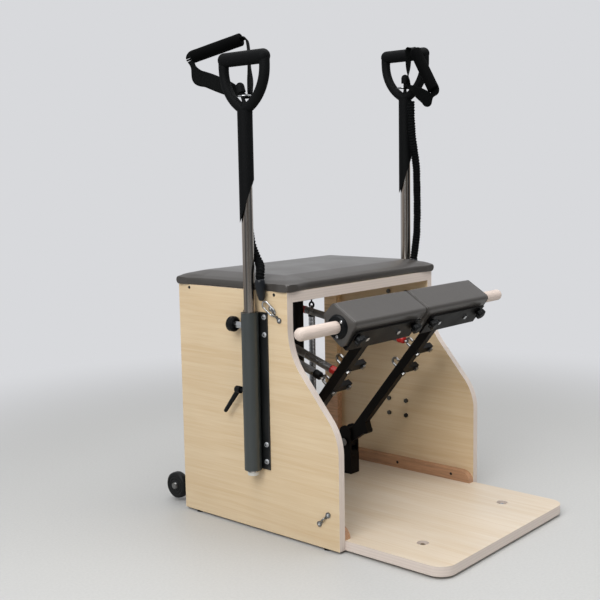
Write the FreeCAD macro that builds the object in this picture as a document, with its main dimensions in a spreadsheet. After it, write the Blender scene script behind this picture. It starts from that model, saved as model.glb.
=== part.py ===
import FreeCAD, Part
import math
import os
import re
import Sketcher

# A pilates chair: a plywood cabinet with a padded seat, two sprung pedals that swing out of its open front,
# and a sliding pole with a D handle, a strap handle and a stretch cord on each side.
# Millimetres. +X is the sitter's left-to-right width, +Y points to the back, +Z is up, the floor is at zero.

SIZES = {
    # Cabinet
    "cabinet_width": 610,
    "panel_thick": 20,
    "panel_top": 608,
    "foot_height": 6,
    "back_reach": 351,
    "panel_depth_top": 378,
    "panel_depth_low": 529,
    "curve_top": 521,
    "upper_curve": 167,
    "lower_curve": 126,
    "curve_lean": 40,
    "deck_thick": 25,
    "platform_thick": 23,
    "platform_depth": 806,
    "platform_corner": 40,
    "batten_thick": 20,
    "base_batten_height": 31,
    "rear_batten_width": 46,
    "rear_batten_inset": 18,
    "foot_radius": 9,
    "foot_inset": 45,
    # Clearances: beside soft pieces, round a turning shaft, round a bolt, and how far cuts run past a face
    "soft_gap": 0.3,
    "running_gap": 0.05,
    "bolt_gap": 0.2,
    "overrun": 5,
    # Levelling feet in the platform
    "leveller_spread": 182,
    "leveller_back": 678,
    "well_radius": 14,
    "well_depth": 13,
    "stud_radius": 5,
    "stud_short": 3,
    "disc_radius": 12,
    "leveller_nut_radius": 9,
    "leveller_nut_height": 7,
    # Seat cushion
    "cushion_overhang": 3,
    "cushion_edge": 31,
    "cushion_crown": 9,
    "cushion_corner": 28,
    "cushion_draw": 4,
    # Pole sleeves on the panels
    "pole_back": 275,
    "pole_radius": 14,
    "pole_wall": 2,
    "sleeve_radius": 21.5,
    "sleeve_wall": 3.5,
    "sleeve_top": 556,
    "sleeve_bottom": 165,
    "flange_width": 80,
    "flange_thick": 3,
    "bush_length": 22,
    "bolt_offset": 30,
    "top_bolt_inset": 12,
    "bottom_bolt_inset": 20,
    "bolt_pitch": 43,
    "bolt_radius": 3,
    "bolt_head_radius": 6,
    "bolt_head_height": 4,
    "bolt_nut_radius": 6.5,
    "bolt_nut_height": 6,
    # Plunger that locks the pole, and the clamp lever
    "plunger_drop": 33,
    "pin_radius": 4,
    "housing_radius": 9,
    "housing_length": 26,
    "plunger_knob_radius": 19,
    "plunger_knob_length": 19,
    "plunger_knob_round": 4,
    "lever_drop": 196,
    "lever_screw_radius": 4,
    "lever_standoff": 15,
    "lever_hub_radius": 9,
    "lever_hub_length": 15,
    "lever_reach": 76,
    "lever_root_radius": 6.5,
    "lever_tip_radius": 5,
    "lever_lean": 38.5,
    # Poles and D handles
    "pole_out": 5,
    "pole_raise": 54,
    "pole_length": 868,
    "pole_step": 54,
    "cover_radius": 18.25,
    "cover_rear": 612,
    "cover_slant": 103,
    "cover_turn": 41,
    "handle_bar_radius": 17,
    "handle_bar_half": 62.5,
    "handle_side_radius": 12.6,
    "handle_half": 66.5,
    "handle_rise": 21,
    "handle_side": 976,
    "handle_curve": 106.3,
    "handle_sweep": 69.5,
    "handle_drop": 98.6,
    "throat_radius": 11,
    "throat_height": 12.5,
    "neck_radius": 4.5,
    "neck_root_radius": 7.5,
    "neck_height": 30,
    "top_knob_radius": 10.5,
    "top_knob_height": 14,
    "knob_lean_left": 18,
    "knob_lean_right": 0,
    "plug_radius": 13.8,
    "plug_head": 8,
    "plug_stem": 20,
    # Strap handles
    "ring_radius": 17.5,
    "ring_wire": 1.8,
    "ring_drop_left": 8,
    "ring_drop_right": 13,
    "ring_turn_left": 4,
    "ring_turn_right": -15,
    "tab_radius": 6,
    "tab_bore": 3.6,
    "tab_length": 14,
    "grip_radius": 16,
    "strap_unit": 67,
    "strap_width": 38,
    "strap_edge_width": 16,
    "strap_thick": 2.5,
    "broad_turn_left": 50,
    "broad_out_left": 15,
    "broad_up_left": 5,
    "edge_turn_left": 8,
    "edge_out_left": 3,
    "edge_up_left": 12,
    "broad_turn_right": -55,
    "broad_out_right": 18,
    "broad_up_right": 3,
    "edge_turn_right": -55,
    "edge_out_right": 18,
    "edge_up_right": 3,
    # Eye straps, carabiners, cord caps
    "eye_upper_back": 339,
    "eye_upper_height": 553,
    "eye_upper_lean": 46,
    "eye_lower_back": 482,
    "eye_lower_height": 76,
    "eye_lower_lean": 45,
    "eye_lobe_radius": 7,
    "eye_lobe_spread": 19,
    "eye_thick": 2,
    "eye_bridge_radius": 8,
    "eye_bridge_wire": 2.2,
    "clip_length": 41,
    "clip_bend": 9,
    "clip_wire": 2.1,
    "clip_lift": 3,
    "clip_swing": 13,
    "cord_radius": 11.5,
    "cap_tip_radius": 6.5,
    "cap_tip_gap": 2.1,
    "cap_gap": 0.8,
    # Rear wheels
    "wheel_radius": 36,
    "wheel_width": 24,
    "wheel_round": 7,
    "wheel_inset": 34,
    "wheel_back": 68,
    "wheel_height": 44,
    "axle_radius": 6,
    "axle_head_radius": 10,
    "axle_head_height": 4,
    "axle_nut_radius": 10,
    "axle_nut_height": 7,
    "hub_boss_radius": 12,
    "bracket_thick": 8,
    "bracket_gap": 4,
    "bracket_base_width": 25,
    "bracket_base_length": 58,
    "bracket_base_thick": 5,
    "bracket_rear_gap": 2,
    "bracket_height": 31,
    # Pedal pivots
    "pedal_set": 150,
    "pivot_back": 198,
    "pivot_height": 122,
    "pedal_lean": 38.5,
    "pivot_radius": 7,
    "pivot_head_radius": 11,
    "pivot_head_height": 6,
    "ear_thick": 6,
    "ear_gap": 1,
    "ear_width": 40,
    "ear_rise": 26,
    "block_width": 42,
    "block_height": 71,
    "block_round": 18,
    "stop_along": 32,
    "stop_radius": 5,
    # Pedal arms and spring hooks
    "arm_side": 24,
    "arm_length": 488,
    "lug_radius": 19,
    "gusset_along": 74,
    "gusset_reach": 37,
    "gusset_round": 8,
    "gusset_end": 98,
    "bar_lower": 290,
    "bar_upper": 365,
    "bar_reach": 65,
    "bar_height": 20,
    "bar_thick": 15,
    "hook_wire": 3.5,
    "hook_bend": 9,
    "hook_shank": 26,
    "hook_tail": 7,
    "hook_nut_radius": 7,
    "hook_nut_height": 6,
    # Pedal pads
    "pad_inner": 146,
    "pad_outer": 140,
    "pad_front": 33,
    "pad_width": 91,
    "pad_height": 77,
    "pad_round": 9,
    "pad_crown": 3,
    "plate_thick": 4,
    "plate_half": 126,
    "plate_lip": 57,
    "plate_depth": 62,
    "plate_bolt_near": 71,
    "plate_bolt_far": 52,
    "plate_bolt_along": 518,
    "pad_knob_set": 112,
    "pad_knob_along": 527,
    "pad_knob_radius": 15,
    "pad_knob_height": 17,
    "pad_knob_boss": 9,
    "pad_knob_flute": 5,
    "dowel_along": 525,
    "dowel_behind": 7,
    "dowel_radius": 15,
    "dowel_length": 144,
    "flange_radius": 29,
    "flange_depth": 8,
    # Springs and their rear posts
    "post_back": 9,
    "post_radius": 18,
    "post_inset": 46,
    "post_shift": 43,
    "post_base": 35,
    "post_base_thick": 6,
    "post_top": 520,
    "post_bar_radius": 10,
    "post_arm_radius": 8,
    "post_bar_over": 10,
    "eye_drop": 26,
    "eye_radius": 8,
    "eye_wire": 3,
    "eye_stem_radius": 2.4,
    "spring_radius": 9,
    "spring_wire": 1.6,
    "spring_eye_radius": 6.5,
    "spring_eye_wire": 1.8,
    "spring_cap_radius": 10.6,
    "spring_cap_length": 20,
    "spring_cap_start": 6,
    "spring_free_length": 340,
}

# Counts and shares, which have no unit
COIL_CURLS = 12
POLE_HOLES = 5
WIRE_SIDES = 6
KNOB_FLUTES = 6

# Cushion loft: share of the edge height, and share of the drawn-in depth, at each level of its side
CUSHION_SIDE_SHARES = [(0.0, 1.0), (0.2, 0.25), (0.5, 0.0), (0.78, 0.3), (1.0, 1.4)]
# Cushion crown: share of the crown height, and share of the cushion's half depth that the level is inset
CUSHION_CROWN_SHARES = [(0.38, 0.09), (0.72, 0.24), (0.92, 0.45), (1.0, 0.72)]
# How much of a level's inset is added to its corner radius
CUSHION_CORNER_SHARE = 0.08
# Pedal pad's section as shares of its width (front to back) and of its height (from its plate up)
PAD_SECTION_SHARES = [(0.0, 0.0), (0.626, 0.0), (1.0, 0.35), (0.945, 0.885), (0.044, 1.0)]
# Pedal pad loft: share of the pad's length, and the share of its section there
PAD_LENGTH_SHARES = [(0.0, 0.88), (0.012, 0.94), (0.035, 0.975), (0.5, 1.0), (0.965, 0.975), (0.988, 0.94),
                     (1.0, 0.88)]
# Strap handles: inboard, backward and upward of the middle of the D's top bar, as shares of strap_unit.
# The grip's near and far end, the heel of the webbing, and any bend on the webbing's way back to the grip.
STRAP_LEFT_SHARES = [(1.21, 1.25, 0.87), (0.52, 3.16, 0.35), (0.28, 2.84, -0.32)]
STRAP_RIGHT_SHARES = [(0.51, -0.85, 0.11), (0.51, -1.79, -1.56), (0.51, -1.58, -1.97), (0.51, -0.53, 0.17)]
# How much of the webbing's last run to its lug keeps the full width
STRAP_FULL_SHARES = {"left": 0.7, "right": 0.25}
# How much of a cord cap is a plain round before it tapers
CAP_FULL_SHARE = 0.5

# Routes of the stretch cords, chosen by hand, from the strap handle's ring down to the cord cap:
# outward from the panel's face, backward, upward
CORD_ROUTES = {
    "left": [(-9, 90, 1052), (-6.5, 98, 1010), (-5.5, 101, 930), (-5.5, 101, 850), (-5.5, 100, 780),
             (-4.5, 94, 732), (-5.5, 83.5, 702), (-5.5, 70, 680), (2.2, 54.5, 666), (13.2, 45.8, 654),
             (16.2, 44.5, 638)],
    "right": [(8.5, 47, 1082), (8.8, 47, 1050), (10, 46.5, 1012), (15, 45, 967), (25, 43.5, 923),
              (31, 43, 878), (32, 43, 800), (31, 42, 735), (26, 42, 690), (16.2, 44.5, 638)],
}

SIDES = {"left": -1, "right": 1}

doc = FreeCAD.newDocument("PilatesChair")
sheet = doc.addObject("Spreadsheet::Sheet", "Sizes")
for row, (alias, value) in enumerate(SIZES.items(), start=1):
    sheet.set("A%d" % row, alias)
    sheet.set("B%d" % row, str(value))
    sheet.setAlias("B%d" % row, alias)
doc.recompute()

nodes = {}


# Formulas in the sheet's names

def formula(text):
    """Point every size name in a formula at its cell of the sheet."""
    def cell(match):
        word = match.group()
        return "Sizes." + word if word in SIZES else word
    return re.sub(r"[a-z_]\w*", cell, text)


def number(text):
    """The value of a formula, in millimetres or degrees."""
    result = sheet.evalExpression(formula(text))
    return float(getattr(result, "Value", result))


def vector(x, y, z):
    return FreeCAD.Vector(number(x), number(y), number(z))


ORIGIN = FreeCAD.Vector()
X_AXIS = FreeCAD.Vector(1, 0, 0)
Y_AXIS = FreeCAD.Vector(0, 1, 0)
Z_AXIS = FreeCAD.Vector(0, 0, 1)
UPRIGHT = FreeCAD.Rotation()
ALONG_X = FreeCAD.Rotation(Z_AXIS, X_AXIS)
ALONG_Y = FreeCAD.Rotation(Z_AXIS, Y_AXIS)
AGAINST_X = FreeCAD.Rotation(Z_AXIS, -X_AXIS)
AGAINST_Y = FreeCAD.Rotation(Z_AXIS, -Y_AXIS)


# Document objects bound to the sheet

def place(item, x="0", y="0", z="0", rotation=UPRIGHT):
    """Turn an object, and tie its position to the sheet."""
    item.Placement = FreeCAD.Placement(vector(x, y, z), rotation)
    for axis, text in (("x", x), ("y", y), ("z", z)):
        item.setExpression("Placement.Base." + axis, formula(text))
    return item


def make(kind, name, sizes, at=("0", "0", "0"), rotation=UPRIGHT):
    """Add a primitive whose sizes and position are formulas."""
    item = doc.addObject(kind, name)
    for size, text in sizes.items():
        item.setExpression(size, formula(text))
    return place(item, *at, rotation=rotation)


def box(name, length, width, height, at, rotation=UPRIGHT):
    sizes = {"Length": length, "Width": width, "Height": height}
    return make("Part::Box", name, sizes, at, rotation)


def cylinder(name, radius, height, at=("0", "0", "0"), rotation=UPRIGHT, angle="360"):
    return make("Part::Cylinder", name, {"Radius": radius, "Height": height, "Angle": angle}, at, rotation)


def cone(name, radius, top_radius, height, at, rotation=UPRIGHT):
    sizes = {"Radius1": radius, "Radius2": top_radius, "Height": height}
    return make("Part::Cone", name, sizes, at, rotation)


def ball(name, radius, at):
    return make("Part::Sphere", name, {"Radius": radius}, at)


def ring(name, radius, wire, at, rotation=UPRIGHT, sweep="360"):
    sizes = {"Radius1": radius, "Radius2": wire, "Angle3": sweep}
    return make("Part::Torus", name, sizes, at, rotation)


def hexagon(name, radius, height, at, rotation=UPRIGHT):
    return make("Part::Prism", name, {"Circumradius": radius, "Height": height}, at, rotation)


def fuse(name, *items):
    result = doc.addObject("Part::MultiFuse", name)
    result.Shapes = list(items)
    return result


def gather(name, *items):
    result = doc.addObject("Part::Compound", name)
    result.Links = list(items)
    return result


def cut(name, base, *tools):
    result = doc.addObject("Part::Cut", name)
    result.Base = base
    result.Tool = tools[0] if len(tools) == 1 else gather(name + "_tools", *tools)
    return result


def formed(name, shape, at=("0", "0", "0"), rotation=UPRIGHT):
    """A piece whose form no standard feature gives."""
    item = doc.addObject("Part::Feature", name)
    item.Shape = shape
    return place(item, *at, rotation=rotation)


def node(label, item):
    """Name a finished sub-part."""
    item.Label = label
    nodes[label] = item
    return item


# Sketched bodies

def origin_plane(body, role):
    for feature in body.Origin.OriginFeatures:
        if feature.Role == role:
            return feature
    raise ValueError("no plane " + role)


def hold(sketch, kind, geometry, end, text):
    """Tie one coordinate of a point to a formula."""
    index = sketch.addConstraint(Sketcher.Constraint(kind, -1, 1, geometry, end, number(text)))
    sketch.setExpression("Constraints[%d]" % index, formula(text))


def draw_outline(sketch, corners):
    """Draw a closed outline. A corner is (across, up), or (across, up, radius, turn) where an arc leads on."""
    points = [vector(corner[0], corner[1], "0") for corner in corners]
    first_ends = []
    for index, corner in enumerate(corners):
        here = points[index]
        there = points[(index + 1) % len(points)]
        if len(corner) == 2:
            sketch.addGeometry(Part.LineSegment(here, there))
            first_ends.append(1)
            continue
        radius = number(corner[2])
        turn = corner[3]
        chord = there - here
        rise = math.sqrt(radius ** 2 - (chord.Length / 2) ** 2)
        across = FreeCAD.Vector(-chord.y, chord.x, 0).normalize()
        middle = (here + there) * 0.5 + across * (rise * turn)
        start, finish = (here, there) if turn > 0 else (there, here)
        angles = [math.atan2(point.y - middle.y, point.x - middle.x) for point in (start, finish)]
        sketch.addGeometry(Part.ArcOfCircle(Part.Circle(middle, Z_AXIS, radius), angles[0], angles[1]))
        first_ends.append(1 if turn > 0 else 2)
    for index, corner in enumerate(corners):
        following = (index + 1) % len(corners)
        last_end = 3 - first_ends[index]
        joint = Sketcher.Constraint("Coincident", index, last_end, following, first_ends[following])
        sketch.addConstraint(joint)
        for kind, text, axis in (("DistanceX", corner[0], -2), ("DistanceY", corner[1], -1)):
            if text == "0":
                sketch.addConstraint(Sketcher.Constraint("PointOnObject", index, first_ends[index], axis))
            else:
                hold(sketch, kind, index, first_ends[index], text)
        if len(corner) > 2:
            held = sketch.addConstraint(Sketcher.Constraint("Radius", index, number(corner[2])))
            sketch.setExpression("Constraints[%d]" % held, formula(corner[2]))


def sketched(name, role, corners):
    """A body with one outline sketched on one of its own planes."""
    body = doc.addObject("PartDesign::Body", name)
    sketch = body.newObject("Sketcher::SketchObject", name + "_outline")
    sketch.AttachmentSupport = [(origin_plane(body, role), "")]
    sketch.MapMode = "FlatFace"
    draw_outline(sketch, corners)
    return body, sketch


def padded_body(name, role, corners, depth):
    """An outline padded along its plane's normal."""
    body, sketch = sketched(name, role, corners)
    pad = body.newObject("PartDesign::Pad", name + "_pad")
    pad.Profile = sketch
    pad.setExpression("Length", formula(depth))
    return body


def turned_body(name, corners):
    """A profile of radius and height, turned about the upright axis."""
    body, sketch = sketched(name, "XZ_Plane", corners)
    turned = body.newObject("PartDesign::Revolution", name + "_turned")
    turned.Profile = sketch
    turned.ReferenceAxis = (sketch, ["V_Axis"])
    return body


# Wires for lofts and swept tubes

def rounded_loop(corners, radius):
    """A closed wire through the corners, with an arc of the radius at each."""
    edges = []
    starts = []
    ends = []
    for index, corner in enumerate(corners):
        before = (corners[index - 1] - corner).normalize()
        after = (corners[(index + 1) % len(corners)] - corner).normalize()
        half = before.getAngle(after) / 2
        reach = radius / math.tan(half)
        inward = (before + after).normalize()
        middle = corner + inward * (radius / math.sin(half) - radius)
        starts.append(corner + before * reach)
        ends.append(corner + after * reach)
        edges.append(Part.Arc(starts[-1], middle, ends[-1]).toShape())
    loop = []
    for index, arc in enumerate(edges):
        loop.append(arc)
        loop.append(Part.LineSegment(ends[index], starts[(index + 1) % len(starts)]).toShape())
    return Part.Wire(loop)


def loft(wires):
    """A solid through closed wires, straight from each to the next."""
    return Part.makeLoft(wires, True, True)


def tangent_arc(start, corner, finish):
    """The arc from start to finish that leaves and arrives along the two legs through the corner."""
    chord_middle = (start + finish) * 0.5
    bend = (corner - start).getAngle(finish - corner)
    sagitta = (finish - start).Length / 2 * math.tan(bend / 4)
    middle = chord_middle + (corner - chord_middle).normalize() * sagitta
    return Part.Arc(start, middle, finish).toShape()


def biarc(start, heading, finish, arrival):
    """Two tangent arcs from one point and heading to another."""
    span = finish - start
    total = heading + arrival
    spread = 2 * (1 - heading.dot(arrival))
    along = span.dot(total)
    if spread < 1e-9:
        reach = span.dot(span) / (2 * along)
    else:
        reach = (math.sqrt(along ** 2 + spread * span.dot(span)) - along) / spread
    first_corner = start + heading * reach
    second_corner = finish - arrival * reach
    joint = (first_corner + second_corner) * 0.5
    return [tangent_arc(start, first_corner, joint), tangent_arc(joint, second_corner, finish)]


def swept(section, edges):
    shell = Part.BRepOffsetAPI.MakePipeShell(Part.Wire(edges))
    shell.add(section)
    shell.build()
    shell.makeSolid()
    return shell.shape()


def cord_points(side):
    """A cord's route, carried along with the panel that it hangs beside."""
    face = number("cabinet_width / 2")
    return [FreeCAD.Vector(SIDES[side] * (face + out), back, up) for out, back, up in CORD_ROUTES[side]]


def cord_tube(label, points, radius):
    """A round tube along straight runs joined by the largest tangent arcs that they allow."""
    edges = []
    radii = []
    here = points[0]
    for before, corner, after in zip(points, points[1:], points[2:]):
        shorter_run = min((corner - before).Length, (after - corner).Length)
        turn = (corner - before).getAngle(after - corner)
        reach = CORD_REACH_SHARE * shorter_run
        radii.append(reach / math.tan(turn / 2))
        arc_start = corner + (before - corner).normalize() * reach
        arc_end = corner + (after - corner).normalize() * reach
        edges.append(Part.LineSegment(here, arc_start).toShape())
        edges.append(tangent_arc(arc_start, corner, arc_end))
        here = arc_end
    edges.append(Part.LineSegment(here, points[-1]).toShape())
    section = Part.Wire(Part.Circle(points[0], points[1] - points[0], radius).toShape())
    tube = swept(section, edges)
    length = sum(edge.Length for edge in edges)
    share = tube.Volume / (math.pi * radius ** 2 * length)
    print("%s: length %.1f, volume share %.4f, radii %s" % (label, length, share, [round(r) for r in radii]))
    return tube


CORD_REACH_SHARE = 0.45


# Cabinet

INNER_HALF = "(cabinet_width / 2 - panel_thick)"
PLATFORM_TOP = "(foot_height + platform_thick)"
DECK_UNDER = "(panel_top - deck_thick)"
FRONT_TOP = "(back_reach - panel_depth_top)"
FRONT_LOW = "(back_reach - panel_depth_low)"
POLE_Y = "(back_reach - pole_back)"
POLE_X = "(cabinet_width / 2 + sleeve_radius)"
HANDLE_TOP = "(handle_side + handle_rise)"
SLEEVE_BOLT_HEIGHTS = [
    "sleeve_top - top_bolt_inset", "sleeve_top - top_bolt_inset - bolt_pitch",
    "sleeve_bottom + bottom_bolt_inset + bolt_pitch", "sleeve_bottom + bottom_bolt_inset",
]


def sleeve_bolt_places():
    return [(POLE_Y + offset, height) for offset in ("- bolt_offset", "+ bolt_offset")
            for height in SLEEVE_BOLT_HEIGHTS]


def side_panel(side, sign):
    """Plywood side: upright at the back, with an S curve down the front edge."""
    bulge = "(1 - cos(curve_lean))"
    slope_run = ("((panel_depth_low - panel_depth_top - (upper_curve + lower_curve) * %s) / sin(curve_lean))"
                 % bulge)
    curve_low = ("(curve_top - (upper_curve + lower_curve) * sin(curve_lean) - %s * cos(curve_lean))"
                 % slope_run)
    corners = [
        ("back_reach", "foot_height"),
        ("back_reach", "panel_top"),
        (FRONT_TOP, "panel_top"),
        (FRONT_TOP, "curve_top", "upper_curve", -1),
        (FRONT_TOP + " - upper_curve * " + bulge, "curve_top - upper_curve * sin(curve_lean)"),
        (FRONT_LOW + " + lower_curve * " + bulge, curve_low + " + lower_curve * sin(curve_lean)",
         "lower_curve", 1),
        (FRONT_LOW, curve_low),
        (FRONT_LOW, "foot_height"),
    ]
    blank = padded_body("panel_blank_" + side, "YZ_Plane", corners, "panel_thick")
    inner_face = "-cabinet_width / 2" if sign < 0 else INNER_HALF
    place(blank, inner_face)
    holes = [cylinder("panel_hole_" + side, "bolt_radius + bolt_gap", "panel_thick + 2 * overrun",
                      (inner_face + " - overrun", y, z), ALONG_X) for y, z in sleeve_bolt_places()]
    return node("side_panel_" + side, cut("panel_" + side, blank, *holes))


def base_platform():
    """Floor board between the panels, with rounded front corners and a well for each levelling foot."""
    front = "(back_reach - platform_depth)"
    corners = [
        ("-" + INNER_HALF, "back_reach"),
        ("-" + INNER_HALF, front + " + platform_corner", "platform_corner", 1),
        ("-" + INNER_HALF + " + platform_corner", front),
        (INNER_HALF + " - platform_corner", front, "platform_corner", 1),
        (INNER_HALF, front + " + platform_corner"),
        (INNER_HALF, "back_reach"),
    ]
    board = place(padded_body("platform_board", "XY_Plane", corners, "platform_thick"), z="foot_height")
    cuts = []
    for side, sign in SIDES.items():
        x = "%d * leveller_spread" % sign
        y = "back_reach - leveller_back"
        cuts.append(cylinder("well_" + side, "well_radius", "well_depth + overrun",
                             (x, y, PLATFORM_TOP + " - well_depth"), UPRIGHT))
        cuts.append(cylinder("stud_hole_" + side, "stud_radius + running_gap", "platform_thick + overrun",
                             (x, y, "foot_height - overrun"), UPRIGHT))
    return node("base_platform", cut("platform", board, *cuts))


def seat_deck():
    deck = box("deck", "2 * " + INNER_HALF, "panel_depth_top", "deck_thick",
               ("-" + INNER_HALF, FRONT_TOP, DECK_UNDER))
    return node("seat_deck", deck)


def battens():
    """Pine strips inside each panel: one along the platform with a rounded nose, one upright at the back."""
    strips = []
    rear_front = "(back_reach - rear_batten_inset - rear_batten_width)"
    for side, sign in SIDES.items():
        x = "-" + INNER_HALF if sign < 0 else INNER_HALF + " - batten_thick"
        run = box("base_strip_" + side, "batten_thick",
                  rear_front + " - " + FRONT_LOW + " - base_batten_height",
                  "base_batten_height", (x, FRONT_LOW + " + base_batten_height", PLATFORM_TOP))
        nose_turn = FreeCAD.Rotation(Z_AXIS, -Y_AXIS, X_AXIS, "ZXY")
        nose = cylinder("base_nose_" + side, "base_batten_height", "batten_thick",
                        (x, FRONT_LOW + " + base_batten_height", PLATFORM_TOP), nose_turn, "90")
        strips.append(fuse("base_batten_" + side, run, nose))
        strips.append(box("rear_batten_" + side, "batten_thick", "rear_batten_width",
                          DECK_UNDER + " - " + PLATFORM_TOP, (x, rear_front, PLATFORM_TOP)))
    return node("battens", gather("batten_set", *strips))


def feet():
    """Rubber glides under the four corners of the panels."""
    glides = []
    for side, sign in SIDES.items():
        x = "%d * (cabinet_width - panel_thick) / 2" % sign
        for y in ("back_reach - foot_inset", FRONT_LOW + " + foot_inset"):
            glides.append(cylinder("glide_" + side, "foot_radius", "foot_height", (x, y, "0")))
    return node("feet", gather("glide_set", *glides))


def leveller(side, sign):
    """Levelling foot: a disc on the floor, a stud through the platform and a nut in the well."""
    profile = [
        ("0", "0"), ("disc_radius", "0"), ("disc_radius", "foot_height - soft_gap"),
        ("stud_radius", "foot_height - soft_gap"), ("stud_radius", PLATFORM_TOP + " - stud_short"),
        ("0", PLATFORM_TOP + " - stud_short"),
    ]
    foot = turned_body("leveller_foot_" + side, profile)
    nut = hexagon("leveller_nut_" + side, "leveller_nut_radius", "leveller_nut_height",
                  ("0", "0", PLATFORM_TOP + " - well_depth + soft_gap"))
    whole = fuse("leveller_whole_" + side, foot, nut)
    place(whole, "%d * leveller_spread" % sign, "back_reach - leveller_back")
    return node("leveller_" + side, whole)


def seat_cushion():
    """Upholstered seat: sides drawn in above and below a fuller middle, and a low crown."""
    half_width = number("cabinet_width / 2 + cushion_overhang")
    half_depth = number("panel_depth_top / 2 + cushion_overhang")
    levels = [(number("cushion_edge") * rise, number("cushion_draw") * inset)
              for rise, inset in CUSHION_SIDE_SHARES]
    levels += [(number("cushion_edge") + number("cushion_crown") * rise, half_depth * inset)
               for rise, inset in CUSHION_CROWN_SHARES]
    wires = []
    for height, inset in levels:
        x = half_width - inset
        y = half_depth - inset
        corners = [FreeCAD.Vector(a * x, b * y, height) for a, b in ((1, 1), (-1, 1), (-1, -1), (1, -1))]
        wires.append(rounded_loop(corners, number("cushion_corner") + inset * CUSHION_CORNER_SHARE))
    cushion = formed("cushion", loft(wires), ("0", "back_reach - panel_depth_top / 2", "panel_top + soft_gap"))
    return node("seat_cushion", cushion)


# Pole sleeves and what is on them

def pole_sleeve(side, sign):
    """Round guide tube with a flat flange on each side, bolted to the panel."""
    axis_x = "%d * %s" % (sign, POLE_X)
    height = "sleeve_top - sleeve_bottom"
    tube = cylinder("sleeve_tube_" + side, "sleeve_radius", height, (axis_x, POLE_Y, "sleeve_bottom"))
    flange_x = "-cabinet_width / 2 - flange_thick" if sign < 0 else "cabinet_width / 2"
    flange = box("sleeve_flange_" + side, "flange_thick", "flange_width", height,
                 (flange_x, POLE_Y + " - flange_width / 2", "sleeve_bottom"))
    bore = cylinder("sleeve_bore_" + side, "sleeve_radius - sleeve_wall", height + " + 2 * overrun",
                    (axis_x, POLE_Y, "sleeve_bottom - overrun"))
    holes = [cylinder("flange_hole_" + side, "bolt_radius + bolt_gap", "flange_thick + 2 * overrun",
                      (flange_x + " - overrun", y, z), ALONG_X) for y, z in sleeve_bolt_places()]
    pin_hole = cylinder("pin_hole_" + side, "pin_radius + running_gap", "sleeve_radius + overrun",
                        (axis_x, POLE_Y, "sleeve_top - plunger_drop"), ALONG_Y)
    screw_hole = cylinder("screw_hole_" + side, "lever_screw_radius + running_gap", "sleeve_radius + overrun",
                          (axis_x, POLE_Y, "sleeve_top - lever_drop"), ALONG_Y)
    body = fuse("sleeve_body_" + side, tube, flange)
    sleeve = cut("sleeve_" + side, body, bore, pin_hole, screw_hole, *holes)
    return node("pole_sleeve_" + side, sleeve)


def pole_bushes():
    """Plastic guide rings in both ends of each sleeve."""
    rings = []
    for side, sign in SIDES.items():
        axis_x = "%d * %s" % (sign, POLE_X)
        for end, z in (("top", "sleeve_top - bush_length"), ("low", "sleeve_bottom")):
            outer = cylinder("bush_outer_" + end + side, "sleeve_radius - sleeve_wall - running_gap",
                             "bush_length", (axis_x, POLE_Y, z))
            inner = cylinder("bush_inner_" + end + side, "pole_radius + running_gap",
                             "bush_length + 2 * overrun", (axis_x, POLE_Y, z + " - overrun"))
            rings.append(cut("bush_" + end + side, outer, inner))
    return node("pole_bushes", gather("bush_set", *rings))


def sleeve_bolts():
    """Bolts through flange and panel, each with its nut inside the cabinet."""
    bolts = []
    for side, sign in SIDES.items():
        inward = ALONG_X if sign < 0 else AGAINST_X
        flange_face = "%d * (cabinet_width / 2 + flange_thick)" % sign
        panel_face = "%d * %s" % (sign, INNER_HALF)
        head_face = "%d * (cabinet_width / 2 + flange_thick + bolt_head_height)" % sign
        for y, z in sleeve_bolt_places():
            head = cone("bolt_head_" + side, "bolt_head_radius - bolt_gap * 5", "bolt_head_radius",
                        "bolt_head_height", (head_face, y, z), inward)
            shank = cylinder("bolt_shank_" + side, "bolt_radius",
                             "flange_thick + panel_thick + bolt_nut_height / 2", (flange_face, y, z), inward)
            nut = hexagon("bolt_nut_" + side, "bolt_nut_radius", "bolt_nut_height", (panel_face, y, z), inward)
            bolts.append(fuse("bolt_" + side, head, shank, nut))
    return node("sleeve_bolts", gather("bolt_set", *bolts))


def plunger_housings():
    """Hexagonal guides for the locking pins, on the back of the sleeves."""
    guides = []
    for side, sign in SIDES.items():
        x = "%d * %s" % (sign, POLE_X)
        start = POLE_Y + " + sleeve_radius"
        z = "sleeve_top - plunger_drop"
        body = hexagon("housing_body_" + side, "housing_radius", "housing_length", (x, start, z), ALONG_Y)
        hole = cylinder("housing_hole_" + side, "pin_radius + running_gap", "housing_length + 2 * overrun",
                        (x, start + " - overrun", z), ALONG_Y)
        guides.append(cut("housing_" + side, body, hole))
    return node("plunger_housings", gather("housing_set", *guides))


def plunger(side, sign):
    """Locking pin with its pull knob, drawn clear of the pole."""
    tip = "pole_radius + soft_gap"
    seat = "sleeve_radius + housing_length + soft_gap"
    end = seat + " + plunger_knob_length"
    profile = [
        ("0", tip), ("pin_radius", tip), ("pin_radius", seat),
        ("plunger_knob_radius - plunger_knob_round", seat),
        ("plunger_knob_radius", seat + " + plunger_knob_round"),
        ("plunger_knob_radius", end + " - plunger_knob_round", "plunger_knob_round", 1),
        ("plunger_knob_radius - plunger_knob_round", end), ("0", end),
    ]
    knob = turned_body("plunger_body_" + side, profile)
    place(knob, "%d * %s" % (sign, POLE_X), POLE_Y, "sleeve_top - plunger_drop", ALONG_Y)
    return node("plunger_" + side, knob)


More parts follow.
